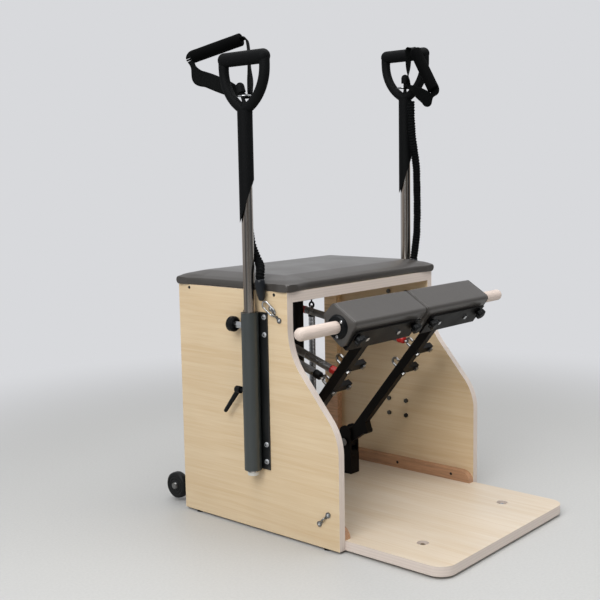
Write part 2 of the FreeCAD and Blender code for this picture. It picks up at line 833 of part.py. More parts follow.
def clamp_lever(side, sign):
    """Clamp screw with a round hub and a tapered lever that hangs down and back."""
    hub_start = "sleeve_radius + lever_standoff"
    screw = cylinder("lever_screw_" + side, "lever_screw_radius", hub_start + " - pole_radius",
                     ("0", "pole_radius + soft_gap", "0"), ALONG_Y)
    hub = cylinder("lever_hub_" + side, "lever_hub_radius", "lever_hub_length", ("0", hub_start, "0"), ALONG_Y)
    lean = math.radians(number("lever_lean"))
    down_back = FreeCAD.Rotation(Z_AXIS, FreeCAD.Vector(0, math.sin(lean), -math.cos(lean)))
    root = ("0", hub_start + " + lever_hub_length / 2", "0")
    arm = cone("lever_arm_" + side, "lever_root_radius", "lever_tip_radius", "lever_reach", root, down_back)
    end = ball("lever_end_" + side, "lever_tip_radius",
               ("0", root[1] + " + lever_reach * sin(lever_lean)", "-lever_reach * cos(lever_lean)"))
    lever = fuse("lever_" + side, screw, hub, arm, end)
    place(lever, "%d * %s" % (sign, POLE_X), POLE_Y, "sleeve_top - lever_drop")
    return node("clamp_lever_" + side, lever)


# Poles, built about their own axis from the foot of the tube

def pole_foot(sign):
    raised = " + pole_raise" if sign > 0 else ""
    return "%d * %s" % (sign, POLE_X), POLE_Y, "sleeve_bottom - pole_out" + raised


def pole(side, sign):
    """Chrome tube with a row of locking holes down its back."""
    outer = cylinder("pole_outer_" + side, "pole_radius", "pole_length")
    inner = cylinder("pole_inner_" + side, "pole_radius - pole_wall", "pole_length + 2 * overrun",
                     ("0", "0", "-overrun"))
    raised = " - pole_raise" if sign > 0 else ""
    first = "(sleeve_top - plunger_drop - sleeve_bottom + pole_out%s)" % raised
    shift = 0 if sign < 0 else 1
    holes = [cylinder("pole_hole_" + side, "pin_radius + running_gap", "pole_radius + overrun",
                      ("0", "0", "%s + (%d) * pole_step" % (first, step + shift - POLE_HOLES // 2)), ALONG_Y)
             for step in range(POLE_HOLES)]
    tube = cut("pole_tube_" + side, outer, inner, *holes)
    place(tube, *pole_foot(sign))
    return node("pole_" + side, tube)


def pole_plug(side, sign):
    head = cylinder("plug_head_" + side, "plug_radius", "plug_head", ("0", "0", "-plug_head"))
    stem = cylinder("plug_stem_" + side, "pole_radius - pole_wall - running_gap", "plug_stem")
    plug = fuse("plug_" + side, head, stem)
    place(plug, *pole_foot(sign))
    return node("pole_plug_" + side, plug)


KNOB_BASE = "(handle_side - handle_drop + throat_height)"


def knob_turn(side):
    """The lean of a strap knob, backward out of the upright."""
    return FreeCAD.Rotation(-X_AXIS, number("knob_lean_" + side))


def strap_knob(side):
    """Mushroom knob on a neck that tapers out of its root."""
    root = cone("neck_root_" + side, "neck_root_radius", "neck_radius", "neck_height / 2",
                ("0", "0", "-neck_radius"))
    neck = cylinder("neck_" + side, "neck_radius", "neck_height + top_knob_height / 2")
    cap = cylinder("knob_body_" + side, "top_knob_radius", "top_knob_height", ("0", "0", "neck_height"))
    dome = ball("knob_dome_" + side, "top_knob_radius", ("0", "0", "neck_height + top_knob_height"))
    return fuse("top_knob_" + side, root, neck, cap, dome)


def pole_handle(side, sign):
    """Foam-covered D handle on a sleeve that is cut off at a slant, with the strap knob in the D's throat."""
    bar = "handle_bar_radius"
    thin = "handle_side_radius"
    stem_top = "(handle_side - handle_drop)"
    stem = cylinder("cover_" + side, "cover_radius", stem_top + " - cover_rear", ("0", "0", "cover_rear"))
    throat = cylinder("throat_" + side, "throat_radius", "throat_height", ("0", "0", stem_top))
    pieces = [stem, throat]
    pieces.append(cylinder("grip_bar_" + side, bar, "2 * handle_bar_half",
                           ("0", "-handle_bar_half", HANDLE_TOP), ALONG_Y))
    for end, way in (("front", -1), ("rear", 1)):
        pieces.append(ball("grip_corner_" + end + side, bar, ("0", "%d * handle_bar_half" % way, HANDLE_TOP)))
        pieces.append(cylinder("grip_side_" + end + side, thin, "handle_rise",
                               ("0", "%d * handle_half" % way, "handle_side")))
        down = FreeCAD.Rotation(Y_AXIS * way, -Z_AXIS, X_AXIS * -way, "ZXY")
        wire = thin if way < 0 else thin + " - soft_gap"
        pieces.append(ring("grip_bend_" + end + side, "handle_curve", wire,
                           ("0", "%d * (handle_half - handle_curve)" % way, "handle_side"), down,
                           "handle_sweep"))
    cover = fuse("handle_cover_" + side, *pieces)
    bore = cylinder("cover_bore_" + side, "pole_radius + running_gap", "pole_length + soft_gap",
                    ("0", "0", "0"))
    slant = math.atan2(number("cover_slant"), -number("2 * cover_radius"))
    knife_turn = FreeCAD.Rotation(X_AXIS, math.degrees(slant))
    knife = box("cover_knife_" + side, "2 * (cover_radius + overrun)", "cover_slant + 4 * cover_radius",
                "cover_slant", ("-cover_radius - overrun", "cover_radius", "cover_rear"), knife_turn)
    turn = FreeCAD.Rotation(Z_AXIS, number("cover_turn"))
    knife = place(gather("cover_knife_turn_" + side, knife), rotation=turn)
    knife.setExpression("Placement.Rotation.Angle", formula("cover_turn"))
    d_handle = cut("d_handle_" + side, cover, bore, knife)
    knob = place(strap_knob(side), z=KNOB_BASE, rotation=knob_turn(side))
    knob.setExpression("Placement.Rotation.Angle", formula("knob_lean_" + side))
    whole = gather("handle_" + side, d_handle, knob)
    place(whole, *pole_foot(sign))
    return node("pole_handle_" + side, whole)


def sideways(sign, turn):
    """A level direction, turned backward from straight inboard."""
    angle = math.radians(number(turn))
    return FreeCAD.Vector(-sign * math.cos(angle), math.sin(angle), 0)


def band(stations, across, through):
    """Webbing through stations of point and half width, spread along one direction and thin along another."""
    pieces = []
    thick = number("strap_thick")
    for (here, wide_here), (there, wide_there) in zip(stations, stations[1:]):
        along = (there - here).normalize()
        spread = across or through.cross(along)
        lift = through if across is None else across.cross(along)
        corners = [here + spread * wide_here, there + spread * wide_there, there - spread * wide_there,
                   here - spread * wide_here]
        face = Part.Face(Part.makePolygon(corners + corners[:1]))
        piece = face.extrude(lift * thick)
        piece.translate(lift * (-thick / 2))
        pieces.append(piece)
    for point, wide in stations[1:-1]:
        if across is None:
            pieces.append(Part.makeCylinder(wide, thick, point - through * (thick / 2), through))
        else:
            pieces.append(Part.makeCylinder(thick / 2, 2 * wide, point - across * wide, across))
    return pieces


def strap_handle(side, sign, shares):
    """Webbing loop through a foam grip, hung by folded lugs from a steel ring round the knob's neck."""
    unit = number("strap_unit")
    top = number(HANDLE_TOP)
    corners = [FreeCAD.Vector(-sign * unit * a, unit * b, top + unit * c) for a, b, c in shares]
    hung = "(neck_height - ring_drop_%s)" % side
    lean = "knob_lean_" + side
    reach = number("ring_radius - neck_radius / cos(%s) - ring_wire * (1 + tan(%s)) - soft_gap" % (lean, lean))
    neck = vector("0", "0", KNOB_BASE) + knob_turn(side).multVec(vector("0", "0", hung))
    middle = neck + sideways(sign, "ring_turn_" + side) * reach
    lug_half = number("tab_length / 2")
    tab_bore = number("tab_bore")
    run_out = number("overrun")
    ends = {}
    tabs = []
    bores = []
    for arm in ("broad", "edge"):
        way = sideways(sign, "%s_turn_%s" % (arm, side))
        across = Z_AXIS.cross(way)
        tab = middle + way * number("ring_radius")
        ends[arm] = tab + way * number("%s_out_%s" % (arm, side)) + Z_AXIS * number("%s_up_%s" % (arm, side))
        tabs += band([(tab, lug_half), (ends[arm], lug_half)], across, None)
        tabs.append(Part.makeCylinder(tab_bore, 2 * lug_half, ends[arm] - across * lug_half, across))
        tabs.append(Part.makeCylinder(number("tab_radius"), 2 * lug_half, tab - across * lug_half, across))
        bore_half = lug_half + run_out
        bores.append(Part.makeCylinder(tab_bore, 2 * bore_half, tab - across * bore_half, across))
    near, far = corners[:2]
    normal = (far - near).cross(ends["broad"] - near).normalize()
    near, far, heel, *bends = [corner - normal * (corner - near).dot(normal) for corner in corners]
    full = number("strap_width / 2")
    edge = number("strap_edge_width / 2")
    narrowing = heel + (ends["broad"] - heel) * STRAP_FULL_SHARES[side]
    web = band([(far, full), (heel, full), (narrowing, full), (ends["broad"], lug_half)], None, normal)
    web += band([(ends["edge"], edge)] + [(bend, edge) for bend in bends] + [(near, edge)], normal, None)
    web.append(Part.makeCylinder(number("grip_radius"), (far - near).Length, near, far - near))
    cord_top, below = cord_points(side)[:2]
    hang = cord_top - vector(*pole_foot(sign)) - ends["edge"]
    slope = hang.getAngle(below - cord_top)
    web.append(Part.makeCylinder(tab_bore, hang.Length - number("soft_gap") - tab_bore * math.tan(slope),
                                 ends["edge"], hang))
    strap = formed("strap_" + side, tabs[0].fuse(tabs[1:] + web).cut(bores).removeSplitter())
    hoop = formed("hoop_" + side, Part.makeTorus(number("ring_radius"), number("ring_wire"), middle, Z_AXIS))
    whole = gather("strap_set_" + side, strap, hoop)
    place(whole, *pole_foot(sign))
    return node("strap_handle_" + side, whole)


# Stretch cords and their fittings

def eye_frames():
    """Where each eye strap sits on a panel: its place, and the turn from its own axes."""
    frames = []
    for side, sign in SIDES.items():
        out = X_AXIS * sign
        for level, way in (("upper", -1), ("lower", 1)):
            lean = math.radians(number("eye_%s_lean" % level))
            run = FreeCAD.Vector(0, -math.cos(lean), way * math.sin(lean))
            turn = FreeCAD.Rotation(run, out.cross(run), out, "ZXY")
            spot = ("%d * cabinet_width / 2" % sign, "back_reach - eye_%s_back" % level,
                    "eye_%s_height" % level)
            frames.append((side, level, spot, turn))
    return frames


def eye_straps():
    """Two-lobed steel eye straps with a raised round bridge."""
    straps = []
    for side, level, spot, turn in eye_frames():
        name = side + level
        parts = []
        for end in (-1, 1):
            x = "%d * eye_lobe_spread" % end
            parts.append(cylinder("eye_lobe_" + name, "eye_lobe_radius", "eye_thick", (x, "0", "0")))
            start = "eye_bridge_radius - eye_bridge_wire"
            left = start if end > 0 else "-eye_lobe_spread"
            parts.append(box("eye_link_" + name, "eye_lobe_spread - eye_bridge_radius + eye_bridge_wire",
                             "eye_lobe_radius", "eye_thick", (left, "-eye_lobe_radius / 2", "0")))
        arch = FreeCAD.Rotation(X_AXIS, Z_AXIS, -Y_AXIS, "ZXY")
        parts.append(ring("eye_arch_" + name, "eye_bridge_radius", "eye_bridge_wire", ("0", "0", "0"), arch,
                          "180"))
        whole = fuse("eye_blank_" + name, *parts)
        under = box("eye_under_" + name, "4 * eye_lobe_spread", "4 * eye_lobe_radius", "eye_lobe_radius",
                    ("-2 * eye_lobe_spread", "-2 * eye_lobe_radius", "-eye_lobe_radius"))
        strap = cut("eye_" + name, whole, under)
        place(strap, *spot, rotation=turn)
        straps.append(strap)
    return node("eye_straps", gather("eye_set", *straps))


def clip_axes(turn):
    """A carabiner's own long axis and its tangent through the eye strap."""
    through = turn.multVec(Y_AXIS)
    lean = FreeCAD.Rotation(through, number("clip_swing"))
    if through.z < 0:
        through = -through
    along = lean.multVec(turn.multVec(-X_AXIS))
    return along, through


def cord_fittings():
    """Carabiners through the upper eye straps, and the rounded caps on the cords' ends."""
    clips = []
    caps = []
    for side, level, spot, turn in eye_frames():
        if level == "lower":
            continue
        sign = SIDES[side]
        along, through = clip_axes(turn)
        frame = FreeCAD.Rotation(along, through, along.cross(through), "XYZ")
        name = side
        straight = "clip_length - 2 * clip_bend"
        bends = []
        for end, way in (("near", -1), ("far", 1)):
            x = "clip_bend" if way < 0 else "clip_length - clip_bend"
            quarter = FreeCAD.Rotation(Z_AXIS, 90 if way < 0 else -90)
            bends.append(ring("clip_bend_" + end + name, "clip_bend", "clip_wire", (x, "0", "0"), quarter,
                              "180"))
            bends.append(cylinder("clip_leg_" + end + name, "clip_wire", straight,
                                  ("clip_bend", "%d * clip_bend" % way, "0"), ALONG_X))
        clip = fuse("clip_" + name, *bends)
        lifted = "%d * (cabinet_width / 2 + clip_lift)" % sign
        place(clip, lifted, spot[1], spot[2], frame)
        clips.append(clip)
        cord_end = cord_points(side)[-1]
        tip = vector(lifted, spot[1], spot[2]) + along * number("clip_length + clip_wire + cap_tip_gap")
        down = (tip - cord_end).normalize()
        wide = number("cord_radius")
        slim = number("cap_tip_radius")
        start = cord_end + down * (number("cap_gap") + wide)
        finish = tip - down * slim
        belly = start + (finish - start) * CAP_FULL_SHARE
        cap = Part.makeCone(wide, slim, (finish - belly).Length, belly, down)
        cap = cap.fuse([Part.makeCylinder(wide, (belly - start).Length, start, down),
                        Part.makeSphere(wide, start), Part.makeSphere(slim, finish)]).removeSplitter()
        caps.append(formed("cord_cap_" + name, cap))
    node("carabiners", gather("clip_set", *clips))
    return node("cord_caps", gather("cap_set", *caps))


def cords():
    for side in SIDES:
        tube = cord_tube("cord_" + side, cord_points(side), number("cord_radius"))
        node("cord_" + side, formed("stretch_cord_" + side, tube))


# Wheels

WHEEL_X = "(cabinet_width / 2 - wheel_inset)"
WHEEL_Y = "(back_reach + wheel_back)"


def wheel(side, sign):
    """Solid rolling wheel with rounded shoulders and a hub boss towards its bracket."""
    half = "wheel_width / 2"
    profile = [
        ("axle_radius + running_gap", "-" + half + " - bracket_gap + soft_gap"),
        ("hub_boss_radius", "-" + half + " - bracket_gap + soft_gap"),
        ("hub_boss_radius", "-" + half),
        ("wheel_radius - wheel_round", "-" + half, "wheel_round", 1),
        ("wheel_radius", "-" + half + " + wheel_round"),
        ("wheel_radius", half + " - wheel_round", "wheel_round", 1),
        ("wheel_radius - wheel_round", half),
        ("axle_radius + running_gap", half),
    ]
    body = turned_body("wheel_body_" + side, profile)
    place(body, "%d * %s" % (sign, WHEEL_X), WHEEL_Y, "wheel_height", ALONG_X if sign > 0 else AGAINST_X)
    return node("wheel_" + side, body)


def wheel_mounts():
    """Steel angle brackets on the platform's rear end, and the wheels' axle bolts."""
    brackets = []
    axles = []
    for side, sign in SIDES.items():
        outward = ALONG_X if sign > 0 else AGAINST_X
        outer_face = "(%s - wheel_width / 2 - bracket_gap)" % WHEEL_X
        cheek_low = outer_face + " - bracket_thick" if sign > 0 else "-" + outer_face
        rear = "back_reach - bracket_rear_gap"
        cheek = box("bracket_cheek_" + side, "bracket_thick",
                    "bracket_base_length + bracket_rear_gap + wheel_back", "bracket_height",
                    (cheek_low, rear + " - bracket_base_length", PLATFORM_TOP))
        nose = cylinder("bracket_nose_" + side, "bracket_height / 2", "bracket_thick",
                        ("%d * (%s - bracket_thick)" % (sign, outer_face), WHEEL_Y,
                         PLATFORM_TOP + " + bracket_height / 2"), outward)
        base_low = outer_face + " - bracket_base_width" if sign > 0 else "-" + outer_face
        base = box("bracket_base_" + side, "bracket_base_width", "bracket_base_length", "bracket_base_thick",
                   (base_low, rear + " - bracket_base_length", PLATFORM_TOP))
        hole = cylinder("bracket_hole_" + side, "axle_radius + running_gap", "bracket_thick + 2 * overrun",
                        ("%d * (%s - bracket_thick - overrun)" % (sign, outer_face), WHEEL_Y, "wheel_height"),
                        outward)
        brackets.append(cut("bracket_" + side, fuse("bracket_blank_" + side, cheek, nose, base), hole))
        inner_face = "(%s - bracket_thick)" % outer_face
        nut = hexagon("axle_nut_" + side, "axle_nut_radius", "axle_nut_height",
                      ("%d * (%s - axle_nut_height)" % (sign, inner_face), WHEEL_Y, "wheel_height"), outward)
        rod = cylinder("axle_rod_" + side, "axle_radius",
                       "axle_nut_height + bracket_thick + bracket_gap + wheel_width + soft_gap",
                       ("%d * (%s - axle_nut_height)" % (sign, inner_face), WHEEL_Y, "wheel_height"), outward)
        head = cone("axle_head_" + side, "axle_head_radius", "axle_head_radius - axle_head_height / 2",
                    "axle_head_height",
                    ("%d * (%s + wheel_width / 2 + soft_gap)" % (sign, WHEEL_X), WHEEL_Y, "wheel_height"),
                    outward)
        axles.append(fuse("axle_" + side, nut, rod, head))
    node("wheel_brackets", gather("bracket_set", *brackets))
    return node("wheel_axles", gather("axle_set", *axles))


# Pedals, built about the pivot with the arm upright, then leant forward

PIVOT_Y = "(back_reach - pivot_back)"


def pedal_place(item, sign):
    lean = FreeCAD.Rotation(X_AXIS, number("pedal_lean"))
    place(item, "%d * pedal_set" % sign, PIVOT_Y, "pivot_height", lean)
    item.setExpression("Placement.Rotation.Angle", formula("pedal_lean"))
    return item


def pivot_stands():
    """Stands on the platform: a rounded block that carries two ears, with a stop pin across them."""
    stands = []
    bolts = []
    for side, sign in SIDES.items():
        middle = "%d * pedal_set" % sign
        ear_face = "(arm_side / 2 + ear_gap)"
        outer_half = "(%s + ear_thick)" % ear_face
        block_corners = [
            (PIVOT_Y + " - block_width / 2", PLATFORM_TOP),
            (PIVOT_Y + " + block_width / 2", PLATFORM_TOP),
            (PIVOT_Y + " + block_width / 2", PLATFORM_TOP + " + block_height"),
            (PIVOT_Y + " - block_width / 2 + block_round", PLATFORM_TOP + " + block_height", "block_round", 1),
            (PIVOT_Y + " - block_width / 2", PLATFORM_TOP + " + block_height - block_round"),
        ]
        block = padded_body("stand_block_" + side, "YZ_Plane", block_corners, "2 * " + outer_half)
        place(block, middle + " - " + outer_half)
        pieces = [block]
        for way in (-1, 1):
            x = middle + (" - " + outer_half if way < 0 else " + " + ear_face)
            rise = "pivot_height + ear_rise - " + PLATFORM_TOP
            pieces.append(box("ear_" + side, "ear_thick", "ear_width", rise,
                              (x, PIVOT_Y + " - ear_width / 2", PLATFORM_TOP)))
            pieces.append(cylinder("ear_round_" + side, "ear_width / 2", "ear_thick",
                                   (x, PIVOT_Y, "pivot_height + ear_rise"), ALONG_X))
        behind = "(arm_side / 2 + stop_radius + soft_gap)"
        stop_y = PIVOT_Y + " - stop_along * sin(pedal_lean) + %s * cos(pedal_lean)" % behind
        stop_z = "pivot_height + stop_along * cos(pedal_lean) + %s * sin(pedal_lean)" % behind
        pieces.append(cylinder("stop_" + side, "stop_radius", "2 * " + outer_half,
                               (middle + " - " + outer_half, stop_y, stop_z), ALONG_X))
        hole = cylinder("ear_hole_" + side, "pivot_radius + running_gap", "2 * (%s + overrun)" % outer_half,
                        (middle + " - %s - overrun" % outer_half, PIVOT_Y, "pivot_height"), ALONG_X)
        stands.append(cut("stand_" + side, fuse("stand_blank_" + side, *pieces), hole))
        rod = cylinder("pivot_rod_" + side, "pivot_radius", "2 * (%s + pivot_head_height)" % outer_half,
                       (middle + " - %s - pivot_head_height" % outer_half, PIVOT_Y, "pivot_height"), ALONG_X)
        head = cylinder("pivot_head_" + side, "pivot_head_radius", "pivot_head_height",
                        (middle + " - %s - pivot_head_height" % outer_half, PIVOT_Y, "pivot_height"), ALONG_X)
        nut = hexagon("pivot_nut_" + side, "pivot_head_radius", "pivot_head_height",
                      (middle + " + " + outer_half, PIVOT_Y, "pivot_height"), ALONG_X)
        bolts.append(fuse("pivot_bolt_" + side, rod, head, nut))
    node("pivot_stands", gather("stand_set", *stands))
    return node("pivot_bolts", gather("pivot_bolt_set", *bolts))


def pedal_arm(side, sign):
    """Square arm with a round pivot lug, a gusset in front and two welded bars for the spring hooks."""
    lug = cylinder("arm_lug_" + side, "lug_radius", "arm_side", ("-arm_side / 2", "0", "0"), ALONG_X)
    bar = box("arm_bar_" + side, "arm_side", "arm_side", "arm_length",
              ("-arm_side / 2", "-arm_side / 2", "0"))
    gusset_corners = [
        ("-lug_radius / 2", "0"),
        ("-gusset_reach + gusset_round", "gusset_along - gusset_round"),
        ("-gusset_reach + gusset_round", "gusset_along + gusset_round", ),
        ("-arm_side / 2 + overrun", "gusset_end"),
    ]
    gusset = place(padded_body("gusset_" + side, "YZ_Plane", gusset_corners, "arm_side"), "-arm_side / 2")
    gusset_nose = cylinder("gusset_nose_" + side, "gusset_round", "arm_side",
                           ("-arm_side / 2", "-gusset_reach + gusset_round", "gusset_along"), ALONG_X)
    pieces = [lug, bar, gusset, gusset_nose]
    holes = [cylinder("arm_hole_" + side, "pivot_radius + running_gap", "arm_side + 2 * overrun",
                      ("-arm_side / 2 - overrun", "0", "0"), ALONG_X)]
    for level in ("bar_lower", "bar_upper"):
        pieces.append(box("hook_bar_" + level + side, "bar_reach + bar_height / 2", "bar_thick", "bar_height",
                          ("0", "-bar_thick / 2", level + " - bar_height / 2")))
        for x in ("0", "bar_reach"):
            holes.append(cylinder("hook_hole_" + level + side, "hook_wire + running_gap",
                                  "arm_side + 2 * overrun", (x, "-arm_side / 2 - overrun", level), ALONG_Y))
    arm = cut("arm_" + side, fuse("arm_blank_" + side, *pieces), *holes)
    return node("pedal_arm_" + side, pedal_place(arm, sign))


def spring_hooks(side, sign):
    """Steel J hooks through the hook bars, each with a nut in front."""
    hooks = []
    for level in ("bar_lower", "bar_upper"):
        for x, face in (("0", "arm_side / 2"), ("bar_reach", "bar_thick / 2")):
            name = level + side
            front = "-" + face + " - hook_nut_height"
            shank = cylinder("hook_shank_" + name, "hook_wire", "hook_shank + %s + hook_nut_height" % face,
                             (x, front, level), ALONG_Y)
            bend_turn = FreeCAD.Rotation(-Z_AXIS, Y_AXIS, X_AXIS, "ZXY")
            bend = ring("hook_bend_" + name, "hook_bend", "hook_wire",
                        (x, "hook_shank", level + " + hook_bend"), bend_turn, "180")
            nut = hexagon("hook_nut_" + name, "hook_nut_radius", "hook_nut_height", (x, front, level), ALONG_Y)
            tail = cylinder("hook_tail_" + name, "hook_wire", "hook_tail",
                            (x, "hook_shank - hook_tail", level + " + 2 * hook_bend"), ALONG_Y)
            hooks.append(fuse("hook_" + name, shank, bend, tail, nut))
    group = gather("hook_set_" + side, *hooks)
    return node("spring_hooks_" + side, pedal_place(group, sign))


PAD_FLOOR = "(arm_length + plate_thick)"


def pedal_plate(side, sign):
    """Folded steel plate on the end of the arm: a floor under the pad and a lip up its front."""
    front = "(-pad_front - soft_gap - plate_thick)"
    floor = box("plate_floor_" + side, "2 * plate_half", "plate_depth", "plate_thick",
                ("-plate_half", front, "arm_length"))
    lip = box("plate_lip_" + side, "2 * plate_half", "plate_thick", "plate_lip",
              ("-plate_half", front, "arm_length"))
    return node("pedal_plate_" + side, pedal_place(fuse("plate_" + side, floor, lip), sign))


def pad_span(sign):
    """The pad's two ends along X, from the arm's middle."""
    if sign < 0:
        return "-pad_outer", "pad_inner"
    return "-pad_inner", "pad_outer"


def pedal_pad(side, sign):
    """Foot pad: a rounded section lofted along its length, drawn in at both ends."""
    low, high = (number(text) for text in pad_span(sign))
    section = [FreeCAD.Vector(0, number("pad_width") * a - number("pad_front"), number("pad_height") * b)
               for a, b in PAD_SECTION_SHARES]
    centre = FreeCAD.Vector()
    for corner in section:
        centre = centre + corner * (1 / len(section))
    wires = []
    for place_share, size_share in PAD_LENGTH_SHARES:
        shift = FreeCAD.Vector(low + (high - low) * place_share, 0, 0)
        corners = [centre + (corner - centre) * size_share + shift for corner in section]
        wires.append(rounded_loop(corners, number("pad_round") * size_share))
    pad = formed("pad_" + side, loft(wires))
    pad = gather("pad_set_" + side, pad)
    lifted = gather("pad_lift_" + side, place(pad, z=PAD_FLOOR + " + soft_gap"))
    return node("pedal_pad_" + side, pedal_place(lifted, sign))


def plate_bolts(side, sign):
    """Bolts in the plate's lip."""
    bolts = []
    face = "-pad_front - soft_gap - plate_thick"
    for x in ("-plate_bolt_near", "plate_bolt_far"):
        bolts.append(hexagon("plate_bolt_" + side, "bolt_nut_radius", "bolt_head_height",
                             (x, face, "plate_bolt_along"), AGAINST_Y))
    group = gather("plate_bolt_set_" + side, *bolts)
    return node("plate_bolts_" + side, pedal_place(group, sign))


def pad_knobs(side, sign):
    """Fluted hand knobs on the plate's lip."""
    for end, way in (("near", -1), ("far", 1)):
        name = end + side
        profile = [
            ("0", "soft_gap"), ("pad_knob_boss", "soft_gap"), ("pad_knob_boss", "pad_knob_height / 3"),
            ("pad_knob_radius", "pad_knob_height / 3"), ("pad_knob_radius", "pad_knob_height * 0.8"),
            ("pad_knob_boss", "pad_knob_height"), ("0", "pad_knob_height"),
        ]
        blank = turned_body("pad_knob_blank_" + name, profile)
        flutes = []
        for flute in range(KNOB_FLUTES):
            turn = "%d * 360 / %d" % (flute, KNOB_FLUTES)
            spot = ("(pad_knob_radius + pad_knob_flute / 2) * cos(%s)" % turn,
                    "(pad_knob_radius + pad_knob_flute / 2) * sin(%s)" % turn, "0")
            flutes.append(cylinder("flute_" + name, "pad_knob_flute", "pad_knob_height + overrun", spot))
        knob = cut("pad_knob_cut_" + name, blank, *flutes)
        place(knob, "%d * pad_knob_set" % way, "-pad_front - soft_gap - plate_thick", "pad_knob_along",
              AGAINST_Y)
        node("pad_knob_%s_%s" % (side, end), pedal_place(gather("pad_knob_turn_" + name, knob), sign))


def dowel(side, sign):
    """Wooden hand dowel with a round end, in a flange on the pad's outer end."""
    outward = ALONG_X if sign > 0 else AGAINST_X
    start = "%d * (pad_outer + soft_gap)" % sign
    spot = ("dowel_behind", "dowel_along")
    rod = cylinder("dowel_rod_" + side, "dowel_radius", "dowel_length - dowel_radius", (start,) + spot,
                   outward)
    end = ball("dowel_end_" + side, "dowel_radius",
               ("%d * (pad_outer + soft_gap + dowel_length - dowel_radius)" % sign,) + spot)
    node("dowel_handle_" + side, pedal_place(fuse("dowel_" + side, rod, end), sign))
    disc = cone("dowel_disc_" + side, "flange_radius", "flange_radius - flange_depth / 2", "flange_depth",
                (start,) + spot, outward)
    hole = cylinder("dowel_hole_" + side, "dowel_radius + running_gap", "flange_depth + 2 * overrun",
                    ("%d * (pad_outer + soft_gap - overrun)" % sign,) + spot, outward)
    return node("dowel_flange_" + side, pedal_place(cut("dowel_ring_" + side, disc, hole), sign))


# Springs and the posts behind them

POST_Y = "(back_reach - post_back)"


def spring_posts():
    """Steel posts at the back of the platform, each with a bar across its top and two hanging eyes."""
    posts = []
    for side, sign in SIDES.items():
        x = "%d * pedal_set" % sign
        foot = (x + " - post_shift", "back_reach - post_inset")
        base = cylinder("post_base_" + side, "post_base", "post_base_thick", foot + (PLATFORM_TOP,))
        column = cylinder("post_column_" + side, "post_radius", "post_top + post_bar_over - " + PLATFORM_TOP,
                          foot + (PLATFORM_TOP,))
        arm = cylinder("post_arm_" + side, "post_arm_radius", "post_inset - post_back", foot + ("post_top",),
                       ALONG_Y)
        bar = cylinder("post_bar_" + side, "post_bar_radius", "post_shift + bar_reach + 2 * post_bar_over",
                       (x + " - post_shift - post_bar_over", POST_Y, "post_top"), ALONG_X)
        pieces = [base, column, arm, bar]
        for offset in ("0", "bar_reach"):
            pieces.append(cylinder("post_stem_" + side, "eye_stem_radius", "eye_drop - eye_radius",
                                   (x + " + " + offset, POST_Y, "post_top - eye_drop + eye_radius")))
            pieces.append(ring("post_eye_" + side, "eye_radius", "eye_wire",
                               (x + " + " + offset, POST_Y, "post_top - eye_drop"), ALONG_X))
        posts.append(fuse("post_" + side, *pieces))
    return node("spring_posts", gather("post_set", *posts))


def coil(length):
    """One unbroken wire: straight out of each end fitting, then wound about the upright axis."""
    radius = number("spring_radius")
    wire = number("spring_wire")
    lead = 2 * wire
    wound = length - 4 * lead
    pitch = wound / COIL_CURLS
    slope = pitch / (2 * math.pi)

    def on_helix(turns):
        angle = 2 * math.pi * turns
        spot = FreeCAD.Vector(radius * math.cos(angle), radius * math.sin(angle), 2 * lead + pitch * turns)
        heading = FreeCAD.Vector(-radius * math.sin(angle), radius * math.cos(angle), slope).normalize()
        return spot, heading

    foot = FreeCAD.Vector(radius, 0, 0)
    head = FreeCAD.Vector(radius, 0, length)
    stations = [(foot + Z_AXIS * lead, Z_AXIS), on_helix(0.25)]
    stations += [on_helix(half / 2) for half in range(1, 2 * COIL_CURLS)]
    stations += [on_helix(COIL_CURLS - 0.25), (head - Z_AXIS * lead, Z_AXIS)]
    edges = [Part.LineSegment(foot, stations[0][0]).toShape()]
    for (start, heading), (finish, arrival) in zip(stations, stations[1:]):
        edges += biarc(start, heading, finish, arrival)
    edges.append(Part.LineSegment(stations[-1][0], head).toShape())
    corners = [foot + FreeCAD.Vector(math.cos(math.pi * 2 * side / WIRE_SIDES),
                                     math.sin(math.pi * 2 * side / WIRE_SIDES), 0) * wire
               for side in range(WIRE_SIDES)]
    section = Part.makePolygon(corners + corners[:1])
    points = [point for edge in edges for point in edge.discretize(5)]
    gap = min((points[a] - points[b]).Length for a in range(0, len(points), 2)
              for b in range(a + 16, len(points), 2)) - 2 * wire
    print("coil: length %.1f, least gap to itself %.2f" % (length, gap))
    return swept(section, edges)


def spring_fitting(way):
    """End cap with the wire eye that hooks on, standing on the upright axis with its eye at the origin."""
    start = number("spring_cap_start")
    eye = Part.makeTorus(number("spring_eye_radius"), number("spring_eye_wire"), ORIGIN, Y_AXIS)
    cap = Part.makeCylinder(number("spring_cap_radius"), number("spring_cap_length"), Z_AXIS * start, Z_AXIS)
    whole = eye.fuse(cap)
    if way < 0:
        whole.rotate(ORIGIN, X_AXIS, 180)
    return whole


def spring(label, x, start, finish):
    """A spring between two eye centres in the plane at x."""
    low = vector(x, "0", "0") + start
    span = finish - start
    reach = number("spring_cap_start + spring_cap_length")
    wire = coil(span.Length - 2 * reach)
    wire.translate(Z_AXIS * reach)
    lower = spring_fitting(1)
    upper = spring_fitting(-1)
    upper.translate(Z_AXIS * span.Length)
    item = doc.addObject("Part::Feature", "coil_" + label)
    item.Shape = Part.makeCompound([wire, lower, upper])
    item.Placement = FreeCAD.Placement(low, FreeCAD.Rotation(Z_AXIS, span))
    item.setExpression("Placement.Base.x", formula(x))
    return node(label, item)


def hook_middle(level):
    """The middle of a hook's bend, in the plane of the arm."""
    lean = FreeCAD.Rotation(X_AXIS, number("pedal_lean"))
    middle = vector("0", "hook_shank", level + " + hook_bend")
    return vector("0", PIVOT_Y, "pivot_height") + lean.multVec(middle)


